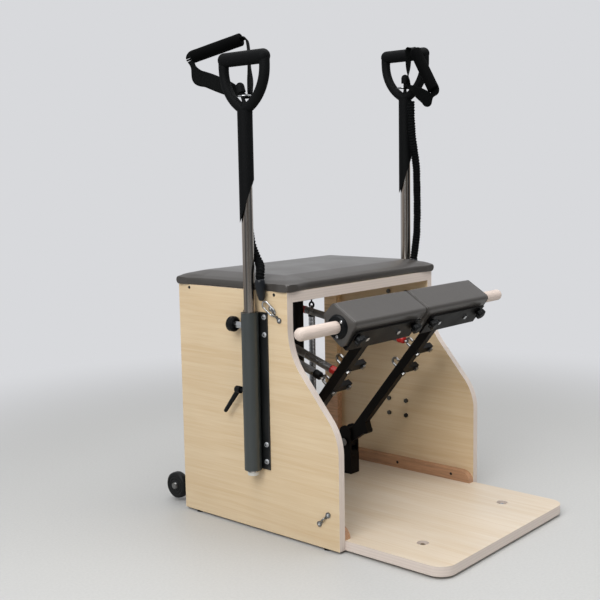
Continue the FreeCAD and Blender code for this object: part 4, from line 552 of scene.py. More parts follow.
def make_finishes(colours):
    """Every finish of the chair by its plain name."""
    pine = sawn_wood("planed_pine", colours.pine, shade(colours.pine, 0.62)[:3], "Y", 0.006, 0.55, 0.9)
    sleeve = worked("satin_paint_on_steel", colours.flange, 0.4, grain=0.0015, relief=0.06, change=0.06, shine=0.95)
    sleeve_tint = tuple(tube_part / plate for tube_part, plate in zip(colours.sleeve, colours.flange))
    return {
        # Lacquered birch is pale and faintly flamed, with whitish edges. The flat boards take a paler, cooler birch
        # than the uprights, as painted reflection of the pale wall in their lacquer
        "birch_side": birch_plywood("birch_plywood_upright", colours.birch, colours.birch_dark, colours.ply_edge, 0),
        "birch_flat_painted_sheen": birch_plywood("birch_plywood_flat_painted_sheen", colours.board, colours.board_dark, colours.ply_edge, 2),
        # Planed pine gives warm brown streaks and a few dark knots, and the upright battens at the back are paler,
        # most of all above the height that they have in the photo
        "pine": tinted(tinted(pine, 1, 0.2865, (1.5, 1.6, 1.7)), 2, 0.22, (1.25, 1.5, 1.45)),
        # Sanded and lacquered beech is an even pinkish cream with short flecks
        "beech": sawn_wood("turned_beech", colours.beech, shade(colours.beech, 0.8)[:3], "X", 0.003, 0.45),
        # Upholstery vinyl is a warm dark grey that mirrors the wall softly at a low angle
        "vinyl": upholstery_vinyl("upholstery_vinyl", colours.vinyl),
        # Closed-cell foam is dull black with open pores that break up the highlight
        "foam": worked("nitrile_foam", colours.foam, 0.65, grain=0.0022, relief=0.2, change=0.2, shine=0.08),
        # The strap handles' grips take the handle foam darkened to a third, as painted shade against the light from
        # above
        "grip": worked("foam_darkened_as_painted_shade", shade(colours.foam, 0.35)[:3], 0.75, grain=0.0022, relief=0.2, change=0.2,
                       shine=0.04),
        # Nylon webbing is the blackest piece, with ribs that only show close by
        "webbing": woven("nylon_webbing", colours.webbing, 0.0032, 0.0024, 0.62),
        # The cords' knitted sleeve is matt black and shows by its folds
        "cord": woven("polyester_sleeve", colours.cloth, 0.0024, 0.0024, 0.7),
        # Satin paint on steel keeps a broad soft highlight, and the flanges against the panels are nearly black
        "sleeve": tinted(sleeve, 0, 0.3095, sleeve_tint),
        # Powder coat is black with a faint orange peel
        "black_steel": worked("black_powder_coat", paint("0B0A0A"), 0.45, grain=0.002, relief=0.12, shine=0.12),
        # Moulded glass-filled nylon is slightly bluish black with a fine spark texture
        "black_plastic": worked("moulded_nylon", paint("0C0E10"), 0.42, grain=0.0015, relief=0.15, shine=0.14),
        # The cord caps are a smoother, bluer black with a soft shine
        "cap": worked("moulded_cap", paint("14171C"), 0.36, grain=0.002, relief=0.08, shine=0.3),
        # Red polythene marks the heavy springs, with a waxy highlight
        "red": worked("red_polythene", colours.spring_cap, 0.38, grain=0.002, relief=0.08),
        # The feet's rubber is dull black
        "rubber": worked("moulded_rubber", paint("121212"), 0.68, grain=0.0018, relief=0.2, shine=0.25),
        # The wheels' harder rubber has a faint shine on its rounded tread
        "tyre": worked("wheel_rubber", paint("101111"), 0.5, grain=0.002, relief=0.2, shine=0.2),
        # Zinc plate is grey with a soft, slightly cloudy shine
        "zinc": worked("zinc_plate", paint("7F7F7E"), 0.28, 1.0, grain=0.001, relief=0.04),
        # Zinc flake on the sleeve bolts is a pale, even grey
        "flake": worked("zinc_flake_coat", paint("C6CACE"), 0.45, 0.45, grain=0.001, relief=0.04, change=0.06),
        # Nickel or chrome plate mirrors the white room
        "bright": worked("nickel_plate", paint("B4B6B8"), 0.2, 1.0, grain=0.001, relief=0.02, change=0.05),
        # Nuts and bolt ends are zinc painted dark as painted shade, and keep a bright speck
        "nut_painted_shade": worked("zinc_darkened_as_painted_shade", paint("54534F"), 0.3, 1.0, grain=0.001, relief=0.04),
        # The poles show painted reflections of the room: dark and warm streaks down their length
        "chrome": drawn_tube_painted_reflections("steel_tube_painted_reflections", paint("D6D2CC"), paint("4A4A4C"), paint("937C66")),
        # Oiled spring wire glints on every turn
        "spring": worked("oiled_spring_steel", paint("8D8F92"), 0.28, 1.0, grain=0.001, relief=0.05),
        # Natural polythene plugs are a pale waxy grey
        "plug": worked("natural_polythene", paint("C9C8C3"), 0.5, grain=0.0015, relief=0.06),
        # Sewing thread is dark grey and stands out from the webbing by its dullness
        "thread": worked("sewing_thread", paint("2A2B2F"), 0.7, grain=0.0006, relief=0.2, shine=0.2),
        # Phosphated screws are dark specks in the pale wood
        "screw": worked("black_phosphate_screw", paint("26272A"), 0.35, 0.8, grain=0.0008, relief=0.06),
    }


# Which finish each CAD node takes
NODE_FINISHES = {
    "birch_side": ["side_panel_left", "side_panel_right"],
    # The flat boards carry painted reflection of the pale wall in their colour
    "birch_flat_painted_sheen": ["seat_deck", "base_platform"],
    "pine": ["battens"],
    "beech": ["dowel_handle_left", "dowel_handle_right"],
    "rubber": ["feet"],
    "sleeve": ["pole_sleeve_left", "pole_sleeve_right"],
    "black_plastic": ["pole_bushes", "plunger_left", "plunger_right", "clamp_lever_left", "clamp_lever_right",
                      "pad_knob_left_near", "pad_knob_left_far", "pad_knob_right_near", "pad_knob_right_far",
                      "dowel_flange_left", "dowel_flange_right"],
    "zinc": ["eye_straps", "pivot_bolts", "wheel_axles", "spring_hooks_left", "spring_hooks_right"],
    "nut_painted_shade": ["sleeve_bolts"],
    "bright": ["carabiners", "plunger_housings", "leveller_left", "leveller_right", "plate_bolts_left",
               "plate_bolts_right"],
    "black_steel": ["wheel_brackets", "pivot_stands", "spring_posts", "pedal_arm_left", "pedal_arm_right",
                    "pedal_plate_left", "pedal_plate_right"],
    "chrome": ["pole_left", "pole_right"],
    "plug": ["pole_plug_left", "pole_plug_right"],
    "foam": ["pole_handle_left", "pole_handle_right"],
}

finishes = {}


class ChairFinishes(bpy.types.Operator):
    """Make the materials and give every CAD node its own"""
    bl_idname = "chair.finishes"
    bl_label = "Finishes"

    def execute(self, context):
        finishes.update(make_finishes(context.scene.chair_colours))
        for finish, nodes in NODE_FINISHES.items():
            for node in nodes:
                coat(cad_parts[node], finishes[finish])
        return {"FINISHED"}


# Stretch cords

def spline_points(name, route):
    """Points along a smooth spline that has the route as its control points."""
    curve = bpy.data.curves.new(name, "CURVE")
    curve.dimensions = "3D"
    spline = curve.splines.new("NURBS")
    spline.points.add(len(route) - 1)
    for point, place in zip(spline.points, route):
        point.co = (*place, 1.0)
    spline.order_u = 3
    spline.use_endpoint_u = True
    spline.resolution_u = 48
    holder = link(name, curve)
    depsgraph = bpy.context.evaluated_depsgraph_get()
    mesh = bpy.data.meshes.new_from_object(holder.evaluated_get(depsgraph))
    points = [vertex.co.copy() for vertex in mesh.vertices]
    bpy.data.objects.remove(holder)
    bpy.data.curves.remove(curve)
    bpy.data.meshes.remove(mesh)
    return points


class ChairCords(bpy.types.Operator):
    """Stretch cords in gathered cloth sleeves, with their moulded end caps"""
    bl_idname = "chair.cords"
    bl_label = "Stretch cords"

    # Radius and height down the cord cap
    CAP = ((0.0086, -0.0004), (0.0103, 0.0012), (0.0116, 0.0050), (0.0120, 0.0110), (0.0119, 0.0200),
           (0.0113, 0.0290), (0.0103, 0.0370), (0.0090, 0.0435), (0.0077, 0.0478), (0.0060, 0.0508),
           (0.0035, 0.0527), (0.0004, 0.0533))

    def execute(self, context):
        sizes = context.scene.chair_sizes
        for side, sign in SIDES.items():
            points = spline_points("cord_route_" + side, CORD_ROUTES[side])
            lengths = running(points)

            def ruffle(i, angle, lengths=lengths, sign=sign):
                along = lengths[i]
                swing = noise.noise(Vector((along * 45, 2.0 * math.cos(angle), 2.0 * math.sin(angle) + sign)))
                wave = 0.5 + 0.5 * math.sin(2 * math.pi * along / sizes.cord_gather + 2.4 * swing
                                            + 0.8 * math.sin(angle + 30 * along))
                slack = noise.noise(Vector((along * 30 + 5 * sign, math.cos(angle), math.sin(angle))))
                return sizes.cord_radius * (0.8 + 0.17 * wave ** 1.4 + 0.09 * slack)

            cord = coat(tube("cord_" + side + "_sleeve", points, ruffle, 28), finishes["cord"])
            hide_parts("cord_" + side)
            low, high = points[-1], points[0]
            tuple(low)
            tuple(high)
            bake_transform(cord)
            top, tip = (Vector((sign * x, y, z)) for x, y, z in (CAP_TOP, CAP_TIP))
            cap = coat(turned("cord_cap_" + side, self.CAP, top, tip - top, 28), finishes["cap"])
            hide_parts("cord_caps")
            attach(cap, "cabinet")
            tuple(points[0])
            [tuple(point) for point in points]
        return {"FINISHED"}


# Upholstery

def swell(piece, voxel, most, shaped, kept):
    """Fill a closed form like stuffed vinyl: remesh it, shape it, blow it up as cloth, hold the swelling to a limit,
    and keep it off its neighbours."""
    remesh = piece.modifiers.new("remesh", "REMESH")
    remesh.mode = "VOXEL"
    remesh.voxel_size = voxel
    settle(piece)
    for vertex in piece.data.vertices:
        vertex.co = shaped(vertex.co)
    start = [vertex.co.copy() for vertex in piece.data.vertices]
    cloth = piece.modifiers.new("stuffing", "CLOTH").settings
    cloth.quality = 5
    cloth.use_pressure = True
    cloth.uniform_pressure_force = 4.0
    cloth.tension_stiffness = 12.0
    cloth.compression_stiffness = 12.0
    cloth.effector_weights.gravity = 0.0
    for number in range(1, 21):
        bpy.context.scene.frame_set(number)
    settle(piece)
    bpy.context.scene.frame_set(1)
    for vertex, before in zip(piece.data.vertices, start):
        move = vertex.co - before
        if move.length > most:
            vertex.co = before + move.normalized() * most
    smooth = piece.modifiers.new("skin", "SMOOTH")
    smooth.iterations = 3
    finer = piece.modifiers.new("finer", "SUBSURF")
    finer.levels = 1
    finer.render_levels = 1
    settle(piece)
    for vertex in piece.data.vertices:
        vertex.co = kept(vertex.co)
    piece.data.shade_smooth()


def ease(value, low, high):
    """0 below low, 1 above high and a smooth rise between."""
    share = min(1.0, max(0.0, (value - low) / (high - low)))
    return share * share * (3 - 2 * share)


def shrunk_copy(name, node, inset):
    """A merged copy of a CAD node's mesh, drawn in along its normals to leave room for the swelling."""
    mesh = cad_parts[node].data.copy()
    work = bmesh.new()
    work.from_mesh(mesh)
    bmesh.ops.remove_doubles(work, verts=work.verts, dist=1e-5)
    bmesh.ops.recalc_face_normals(work, faces=work.faces)
    for vertex in work.verts:
        vertex.co -= vertex.normal * inset
    work.to_mesh(mesh)
    work.free()
    mesh.materials.clear()
    return link(name, mesh)


def cut_line(piece, place, normal):
    """The loop of points where a plane cuts a closed piece, in order round it."""
    work = bmesh.new()
    work.from_mesh(piece.data)
    cut = bmesh.ops.bisect_plane(work, geom=work.verts[:] + work.edges[:] + work.faces[:], plane_co=place,
                                 plane_no=normal)["geom_cut"]
    points = [item.co.copy() for item in cut if isinstance(item, bmesh.types.BMVert)]
    work.free()
    middle = Vector()
    for point in points:
        middle += point / len(points)
    across = normal.orthogonal().normalized()
    up = normal.cross(across)
    points.sort(key=lambda p: math.atan2((p - middle).dot(up), (p - middle).dot(across)))
    kept = points[:1]
    for point in points[1:]:
        if (point - kept[-1]).length > 0.002:
            kept.append(point)
    return kept


def evened(points, count):
    """A closed line with that many points, evenly spaced."""
    loop = points + points[:1]
    lengths = running(loop)
    even = []
    piece = 0
    for step in range(count):
        target = lengths[-1] * step / count
        while lengths[piece + 1] < target:
            piece += 1
        share = (target - lengths[piece]) / (lengths[piece + 1] - lengths[piece])
        even.append(loop[piece].lerp(loop[piece + 1], share))
    return even


class ChairCushion(bpy.types.Operator):
    """Padded seat with a crowned top and rounded, slightly creased edges"""
    bl_idname = "chair.cushion"
    bl_label = "Seat cushion"

    # Half the seat's width, how much less it is beside the poles and cords, and the seat's front and rear
    REACH = 0.3105
    POLE_ROOM = 0.0037
    FRONT = -0.0335
    REAR = 0.3555
    # How much the edge is pulled down by its staples
    PULL = 0.003

    def execute(self, context):
        sizes = context.scene.chair_sizes
        low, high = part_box("seat_cushion")

        def shaped(place):
            """Slope the top gently down to a low edge, and draw the corners out to points."""
            ends = (place.x - low.x, high.x - place.x)
            fronts = (place.y - low.y, high.y - place.y)
            slope = sizes.cushion_slope
            out = sizes.cushion_point * (1 - ease(min(ends), 0.0, slope)) * (1 - ease(min(fronts), 0.0, slope))
            settled = (place.z - low.z) * (1 - sizes.cushion_slack / (high.z - low.z))
            crest = sizes.cushion_edge + sizes.cushion_rise * ease(min(*ends, *fronts), -0.01, slope)
            return Vector((place.x + (out if ends[1] < ends[0] else -out),
                           place.y + (out if fronts[1] < fronts[0] else -out), low.z + min(settled, crest)))

        def kept(place):
            """Lie flat on the deck out to the edges, and stay off the poles, the cord caps and the cords."""
            beside = ease(place.y, -0.01, 0.02) * (1 - ease(place.y, 0.10, 0.14))
            reach = self.REACH - self.POLE_ROOM * beside
            inner = min(place.x - low.x, high.x - place.x, place.y - low.y, high.y - place.y)
            return Vector((min(reach, max(-reach, place.x)), min(self.REAR, max(self.FRONT, place.y)),
                           max(low.z, place.z - self.PULL * (1 - ease(inner, -0.004, 0.02)))))

        seat = shrunk_copy("seat_upholstery", "seat_cushion", 0.001)
        swell(seat, 0.005, sizes.cushion_swell, shaped, kept)
        coat(seat, finishes["vinyl"])
        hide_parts("seat_cushion")
        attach(seat, "cabinet")
        return {"FINISHED"}


class ChairPads(bpy.types.Operator):
    """Stuffed vinyl foot pads on the pedals, with a seam round each end"""
    bl_idname = "chair.pads"
    bl_label = "Pedal pads"

    # How far in from the end each ring of the pad lies, and its size as a share of the pad's middle section
    ENDS = ((0.0, 0.92), (0.0007, 0.946), (0.0026, 0.969), (0.006, 0.982), (0.014, 0.990), (0.035, 0.996),
            (0.08, 1.0))
    WELT_RADIUS = 0.0011

    def execute(self, context):
        for side in SIDES:
            node = "pedal_pad_" + side
            low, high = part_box(node)
            middle = (low + high) / 2
            section = evened(cut_line(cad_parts[node], (middle.x, 0, 0), Vector((1, 0, 0))), 160)
            heart = sum(section, Vector()) / len(section)
            places = [(low.x + inset, share) for inset, share in self.ENDS]
            places += [(high.x - inset, share) for inset, share in reversed(self.ENDS)]
            rings = [[Vector((x, *(heart + (point - heart) * share).yz)) for point in section]
                     for x, share in places]
            pad = coat(skin("foot_pad_" + side, rings), finishes["vinyl"])
            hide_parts(node)
            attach(pad, "pedal_" + side)
            welts = [coat(tube("welt", ring, self.WELT_RADIUS, 6, loop=True), finishes["vinyl"])
                     for ring in (rings[2], rings[-3])]
            welt = joined("foot_pad_seams_" + side, welts)
            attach(welt, "pedal_" + side)
        return {"FINISHED"}


# Springs

class ChairSprings(bpy.types.Operator):
    """Close-wound coil springs with end rings and moulded caps"""
    bl_idname = "chair.springs"
    bl_label = "Springs"

    # How far the coil starts from the middle of an end ring, that ring, and radius and height of the cap over both
    COIL_START = 0.022
    EYE_RADIUS = 0.0065
    EYE_WIRE = 0.0018
    CAP = ((0.0018, 0.0045), (0.006, 0.0048), (0.0094, 0.0062), (0.0106, 0.0085), (0.0107, 0.0205),
           (0.0111, 0.0212), (0.0111, 0.0252), (0.0104, 0.026), (0.0095, 0.026))

    def execute(self, context):
        sizes = context.scene.chair_sizes
        for node, (front, rear, pedal) in SPRINGS.items():
            piece = self.spring(node, Vector(front), Vector(rear), sizes)
            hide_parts(node)
            if pedal:
                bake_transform(piece)
            else:
                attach(piece, "cabinet")
        return {"FINISHED"}

    def spring(self, node, front, rear, sizes):
        axis = (rear - front).normalized()
        across = Vector((1, 0, 0))
        up = axis.cross(across)
        coil_length = (rear - front).length - 2 * self.COIL_START
        turns = coil_length / sizes.spring_pitch
        steps = int(turns * 14)
        line = []
        for i in range(steps + 1):
            angle = 2 * math.pi * turns * i / steps
            line.append(front + axis * (self.COIL_START + coil_length * i / steps)
                        + (across * math.cos(angle) + up * math.sin(angle)) * sizes.spring_radius)
        pieces = [coat(tube("coil", line, sizes.spring_wire, 6), finishes["spring"])]
        cap = finishes["red" if node.endswith("heavy") else "black_plastic"]
        for end, way in ((front, axis), (rear, -axis)):
            pieces.append(coat(hoop("eye", end, up, self.EYE_RADIUS, self.EYE_WIRE), finishes["bright"]))
            pieces.append(coat(turned("cap", self.CAP, end, way, 24), cap))
        return joined(node + "_coil", pieces)


# Strap handles

def stitch_tree():
    """Sewing thread on points: each stitch is a short bar along the direction of its point."""
    tree, given = points_tree("stitches", ("Length", "Thread"))
    bar = add(tree, "GeometryNodeMeshCylinder", {"Vertices": 6, "Radius": given["Thread"], "Depth": given["Length"]})
    return on_points(tree, given, bar)


class ChairStraps(bpy.types.Operator):
    """Strap handles: a foam grip on a loop of webbing, sewn round a steel ring"""
    bl_idname = "chair.straps"
    bl_label = "Strap handles"

    # The grip's end: radius as a share of the grip's, and height
    GRIP_END = ((0.3, 0.0025), (0.62, 0.0012), (0.84, 0.0), (0.95, 0.0014), (1.0, 0.004), (0.985, 0.02))
    # How far the webbing runs into the grip, and how much of its way from heel to lug keeps the full width
    IN_GRIP = 0.014
    FULL_SHARES = {"left": 0.66, "right": 0.3}
    # How far the left webbing bows towards the side on its way up
    BOW = 0.006
    # The stitches' length, thread, rows as shares of half the fold's width, and spacing
    STITCH = {"Length": 0.0018, "Thread": 0.0006}
    STITCH_ROWS = (-0.6, 0.6)
    STITCH_PITCH = 0.0022

    def execute(self, context):
        sizes = context.scene.chair_sizes
        for side in SIDES:
            spot = {name: Vector(place) for name, place in STRAPS[side].items()}
            ring = hoop("ring", spot["ring"], Vector((0, 0, 1)), sizes.ring_radius, sizes.ring_wire)
            pieces = [self.grip(spot, sizes), coat(ring, finishes["bright"]), *self.webbing(side, spot, sizes)]
            strap = joined("strap_handle_" + side + "_web", pieces)
            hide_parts("strap_handle_" + side)
            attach(strap, "pole_" + side)
        return {"FINISHED"}

    def grip(self, spot, sizes):
        way = spot["far"] - spot["near"]
        radius = sizes.grip_radius
        profile = [(share * radius, height) for share, height in self.GRIP_END]
        profile.append((0.995 * radius, way.length / 2))
        profile += [(share * radius, way.length - height) for share, height in reversed(self.GRIP_END)]
        return coat(turned("grip", profile, spot["near"], way, 32), finishes["grip"])

    def webbing(self, side, spot, sizes):
        half = sizes.webbing_width / 2
        fold_half = sizes.webbing_fold / 2
        near, far, heel, broad, edge = (spot[name] for name in ("near", "far", "heel", "broad", "edge"))
        normal = (far - near).cross(broad - near).normalized()
        along = (far - near).normalized()

        def flat(before, after, wide):
            return normal.cross((after - before).normalized()) * wide

        def level(lug):
            way = lug - spot["ring"]
            return Vector((-way.y, way.x, 0)).normalized()

        across = level(broad)
        if across.dot(flat(heel, broad, 1.0)) < 0:
            across = -across
        full = self.FULL_SHARES[side]
        lower = [(far - along * self.IN_GRIP, flat(near, far, half * 0.55)),
                 (far + along * 0.004, flat(near, far, half * 0.8)),
                 (heel.lerp(broad, 0.07), flat(far, broad, half * 0.93)),
                 (heel.lerp(broad, full / 2), flat(heel, broad, half)),
                 (heel.lerp(broad, full), flat(heel, broad, half * 0.96)),
                 (heel.lerp(broad, (1 + full) / 2), flat(heel, broad, half * 0.72)),
                 (broad, across * fold_half)]
        if side == "left":
            bow = ACROSS_VIEW * self.BOW
            upper = [(edge, level(edge)),
                     (edge.lerp(near, 0.22) + bow * 0.8, (level(edge) + normal * 1.2).normalized()),
                     (edge.lerp(near, 0.5) + bow * 1.4, normal),
                     (edge.lerp(near, 0.85) + bow * 2.2, normal),
                     (near - along * 0.007 + bow * 0.5, normal),
                     (near + along * self.IN_GRIP, normal)]
        else:
            # The webbing makes half a turn on its way up, and crosses the grip's top end
            bend = spot["bend"]
            upper = [(edge, ACROSS_VIEW),
                     (edge.lerp(bend, 0.14), (ACROSS_VIEW + ALONG_VIEW).normalized()),
                     (edge.lerp(bend, 0.3), ALONG_VIEW),
                     (edge.lerp(bend, 0.5), (ALONG_VIEW - ACROSS_VIEW).normalized()),
                     (edge.lerp(bend, 0.72), -ACROSS_VIEW),
                     (bend, -ACROSS_VIEW),
                     (near - along * 0.005, -ACROSS_VIEW),
                     (near + along * self.IN_GRIP, flat(near, far, -1.0))]
        upper = [(place, way * fold_half) for place, way in upper]
        pieces = [coat(ribbon("web", line, sizes.webbing_thick), finishes["webbing"]) for line in (lower, upper)]
        for lug in ((broad, edge) if side == "left" else (broad,)):
            pieces += self.fold(lug, spot["ring"], level(lug), fold_half, sizes.ring_radius)
        return pieces

    def fold(self, lug, ring, across, half, ring_radius):
        """The end of the webbing turned round the ring's wire and sewn back on itself."""
        way = Vector((lug.x - ring.x, lug.y - ring.y, 0)).normalized()
        tab = ring + way * ring_radius
        inward = (tab - lug).normalized()
        around = inward.cross(across)
        tail = lug - inward * 0.004
        line = [(tail, across * half * 0.95), (tab.lerp(lug, 0.5), across * half * 0.9)]
        for angle in (-110, -55, 0, 55, 110):
            turn = math.radians(angle)
            line.append((tab + (inward * math.cos(turn) + around * math.sin(turn)) * 0.0042, across * half * 0.88))
        line.append((tab.lerp(lug, 0.5) + around * 0.001, across * half * 0.9))
        line.append((tail + around * 0.0015, across * half * 0.95))
        web = coat(ribbon("web", line, 0.002, 5), finishes["webbing"])
        spots = []
        for row in self.STITCH_ROWS:
            for step in range(4):
                place = lug - inward * (0.0035 - self.STITCH_PITCH * step) + across * half * row
                for lift in (-1, 1):
                    spots.append((place + around * 0.0022 * lift, inward))
        stitches = {**self.STITCH, "Material": finishes["thread"]}
        return [web, grow(set_points("stitches", spots), stitch_tree(), stitches)]


# Fasteners

def fastener_tree(sides):
    """Heads on points: each is a turned button with a recess of that many sides, turned to face outwards."""
    tree, given = points_tree("fasteners_%d" % sides, ("Radius", "Height"))
    radius, height = given["Radius"], given["Height"]
    whole = add(tree, "GeometryNodeMeshBoolean", operation="UNION")
    # The button's slices: bottom and top radius, start and depth, as shares of the head's radius and height
    for low, high, start, share in ((1.0, 1.0, 0.0, 0.35), (1.0, 0.9, 0.35, 0.3), (0.9, 0.62, 0.65, 0.35)):
        bottom, top, lift, depth = (
            add(tree, "ShaderNodeMath", {0: size, 1: part}, operation="MULTIPLY")
            for size, part in ((radius, low), (radius, high), (height, start), (height, share)))
        button = add(tree, "GeometryNodeMeshCone", {"Vertices": 24, "Radius Top": top, "Radius Bottom": bottom,
                                                    "Depth": depth})
        shift = add(tree, "ShaderNodeCombineXYZ", {"Z": lift})
        raised = add(tree, "GeometryNodeTransform", {"Geometry": button, "Translation": shift})
        tree.links.new(raised, whole.node.inputs["Mesh 2"])
    hole_radius, hole_lift = (add(tree, "ShaderNodeMath", {0: size, 1: part}, operation="MULTIPLY")
                              for size, part in ((radius, 0.48), (height, 0.95)))
    hole = add(tree, "GeometryNodeMeshCylinder", {"Vertices": sides, "Radius": hole_radius, "Depth": height})
    shift = add(tree, "ShaderNodeCombineXYZ", {"Z": hole_lift})
    recess = add(tree, "GeometryNodeTransform", {"Geometry": hole, "Translation": shift})
    head = add(tree, "GeometryNodeMeshBoolean", {"Mesh 1": whole, "Mesh 2": recess}, operation="DIFFERENCE")
    return on_points(tree, given, head)


class ChairFasteners(bpy.types.Operator):
    """Sleeve bolts, panel and batten screws, eye-strap screws and flange screws"""
    bl_idname = "chair.fasteners"
    bl_label = "Fasteners"

    # Seats of the heads, out from the chair's middle: on the sleeves' flanges, the panels, the battens and the eyes
    FLANGE_FACE, PANEL_FACE, BATTEN_FACE, EYE_FACE = 0.308, 0.3047, 0.2653, 0.307
    # Places along the chair's depth, and heights
    BOLT_BACKS, BOLT_HEIGHTS = (0.046, 0.106), (0.544, 0.501, 0.228, 0.185)
    PANEL_BACKS, PANEL_HEIGHT = (0.015, 0.312), 0.600
    BATTEN_BACKS, BATTEN_HEIGHT = (-0.118, 0.065, 0.250), 0.0455
    # Each eye strap's depth, height, lean in degrees and whether it rises or falls to the front; its screws' reach
    EYES = ((0.012, 0.553, 46, -1), (-0.131, 0.076, 45, 1))
    EYE_REACH = 0.019
    # The dowel flanges' screws: distance from the dowel's axis, and angles in degrees
    FLANGE_REACH, FLANGE_ANGLES = 0.0215, (-100, 20, 140)

    def execute(self, context):
        hexagon = fastener_tree(6)
        square = fastener_tree(4)
        head = context.scene.chair_sizes.bolt_head
        bolts = []
        screws = []
        eyes = []
        for sign in SIDES.values():
            out = (sign, 0, 0)
            bolts += [((sign * self.FLANGE_FACE, y, z), out) for y in self.BOLT_BACKS for z in self.BOLT_HEIGHTS]
            screws += [((sign * self.PANEL_FACE, y, self.PANEL_HEIGHT), out) for y in self.PANEL_BACKS]
            screws += [((sign * self.BATTEN_FACE, y, self.BATTEN_HEIGHT), (-sign, 0, 0)) for y in self.BATTEN_BACKS]
            for y, z, lean, way in self.EYES:
                run = Vector((0, -math.cos(math.radians(lean)), way * math.sin(math.radians(lean))))
                for end in (-self.EYE_REACH, self.EYE_REACH):
                    eyes.append(((sign * self.EYE_FACE, y + run.y * end, z + run.z * end), out))
        # Name, body, places, tree, radius, height and finish
        groups = [("sleeve_bolt_heads", "cabinet", bolts, hexagon, head, 0.0043, "flake"),
                  ("panel_screws", "cabinet", screws, square, 0.0042, 0.0008, "screw"),
                  ("eye_strap_screws", "cabinet", eyes, square, 0.0036, 0.0016, "bright")]
        for side, sign in SIDES.items():
            low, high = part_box("dowel_flange_" + side)
            middle = (low + high) / 2
            face = low.x if sign < 0 else high.x
            around = []
            for turn in map(math.radians, self.FLANGE_ANGLES):
                around.append(((face, middle.y + self.FLANGE_REACH * math.cos(turn),
                                middle.z + self.FLANGE_REACH * math.sin(turn)), (sign, 0, 0)))
            groups.append(("flange_screws_" + side, "pedal_" + side, around, square, 0.0038, 0.0018, "bright"))
        for name, body, spots, tree, radius, height, finish in groups:
            heads = grow(set_points(name, spots), tree,
                         {"Radius": radius, "Height": height, "Material": finishes[finish]})
            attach(heads, body)
        return {"FINISHED"}


# Wheels

class ChairWheels(bpy.types.Operator):
    """Moulded transport wheels with a rounded tread, side grooves and a hub"""
    bl_idname = "chair.wheels"
    bl_label = "Wheels"

    # The right wheel's middle, which the left one mirrors, and radius and height along the axle, outwards
    MIDDLE = (0.271, 0.419, 0.044)
    PROFILE = ((0.0062, -0.0157), (0.012, -0.0157), (0.0122, -0.0118), (0.019, -0.0112), (0.0195, -0.0102),
               (0.0225, -0.0102), (0.023, -0.0114), (0.0285, -0.0118), (0.0325, -0.0108), (0.0351, -0.0084),
               (0.0359, -0.0055), (0.036, 0.0), (0.0359, 0.0055), (0.0351, 0.0084), (0.0325, 0.0108),
               (0.0285, 0.0118), (0.0262, 0.0114), (0.0257, 0.0102), (0.0232, 0.0102), (0.0226, 0.0114),
               (0.0185, 0.0116), (0.0180, 0.0106), (0.0150, 0.0106), (0.0146, 0.0117), (0.0062, 0.0119))

    def execute(self, context):
        for side, sign in SIDES.items():
            x, y, z = self.MIDDLE
            middle = Vector((sign * x, y, z))
            wheel = turned("wheel_" + side + "_tyre", self.PROFILE, middle, Vector((sign, 0, 0)), 56)
            coat(wheel, finishes["tyre"])
            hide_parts("wheel_" + side)
            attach(wheel, "wheel_" + side)
        return {"FINISHED"}


# Stage

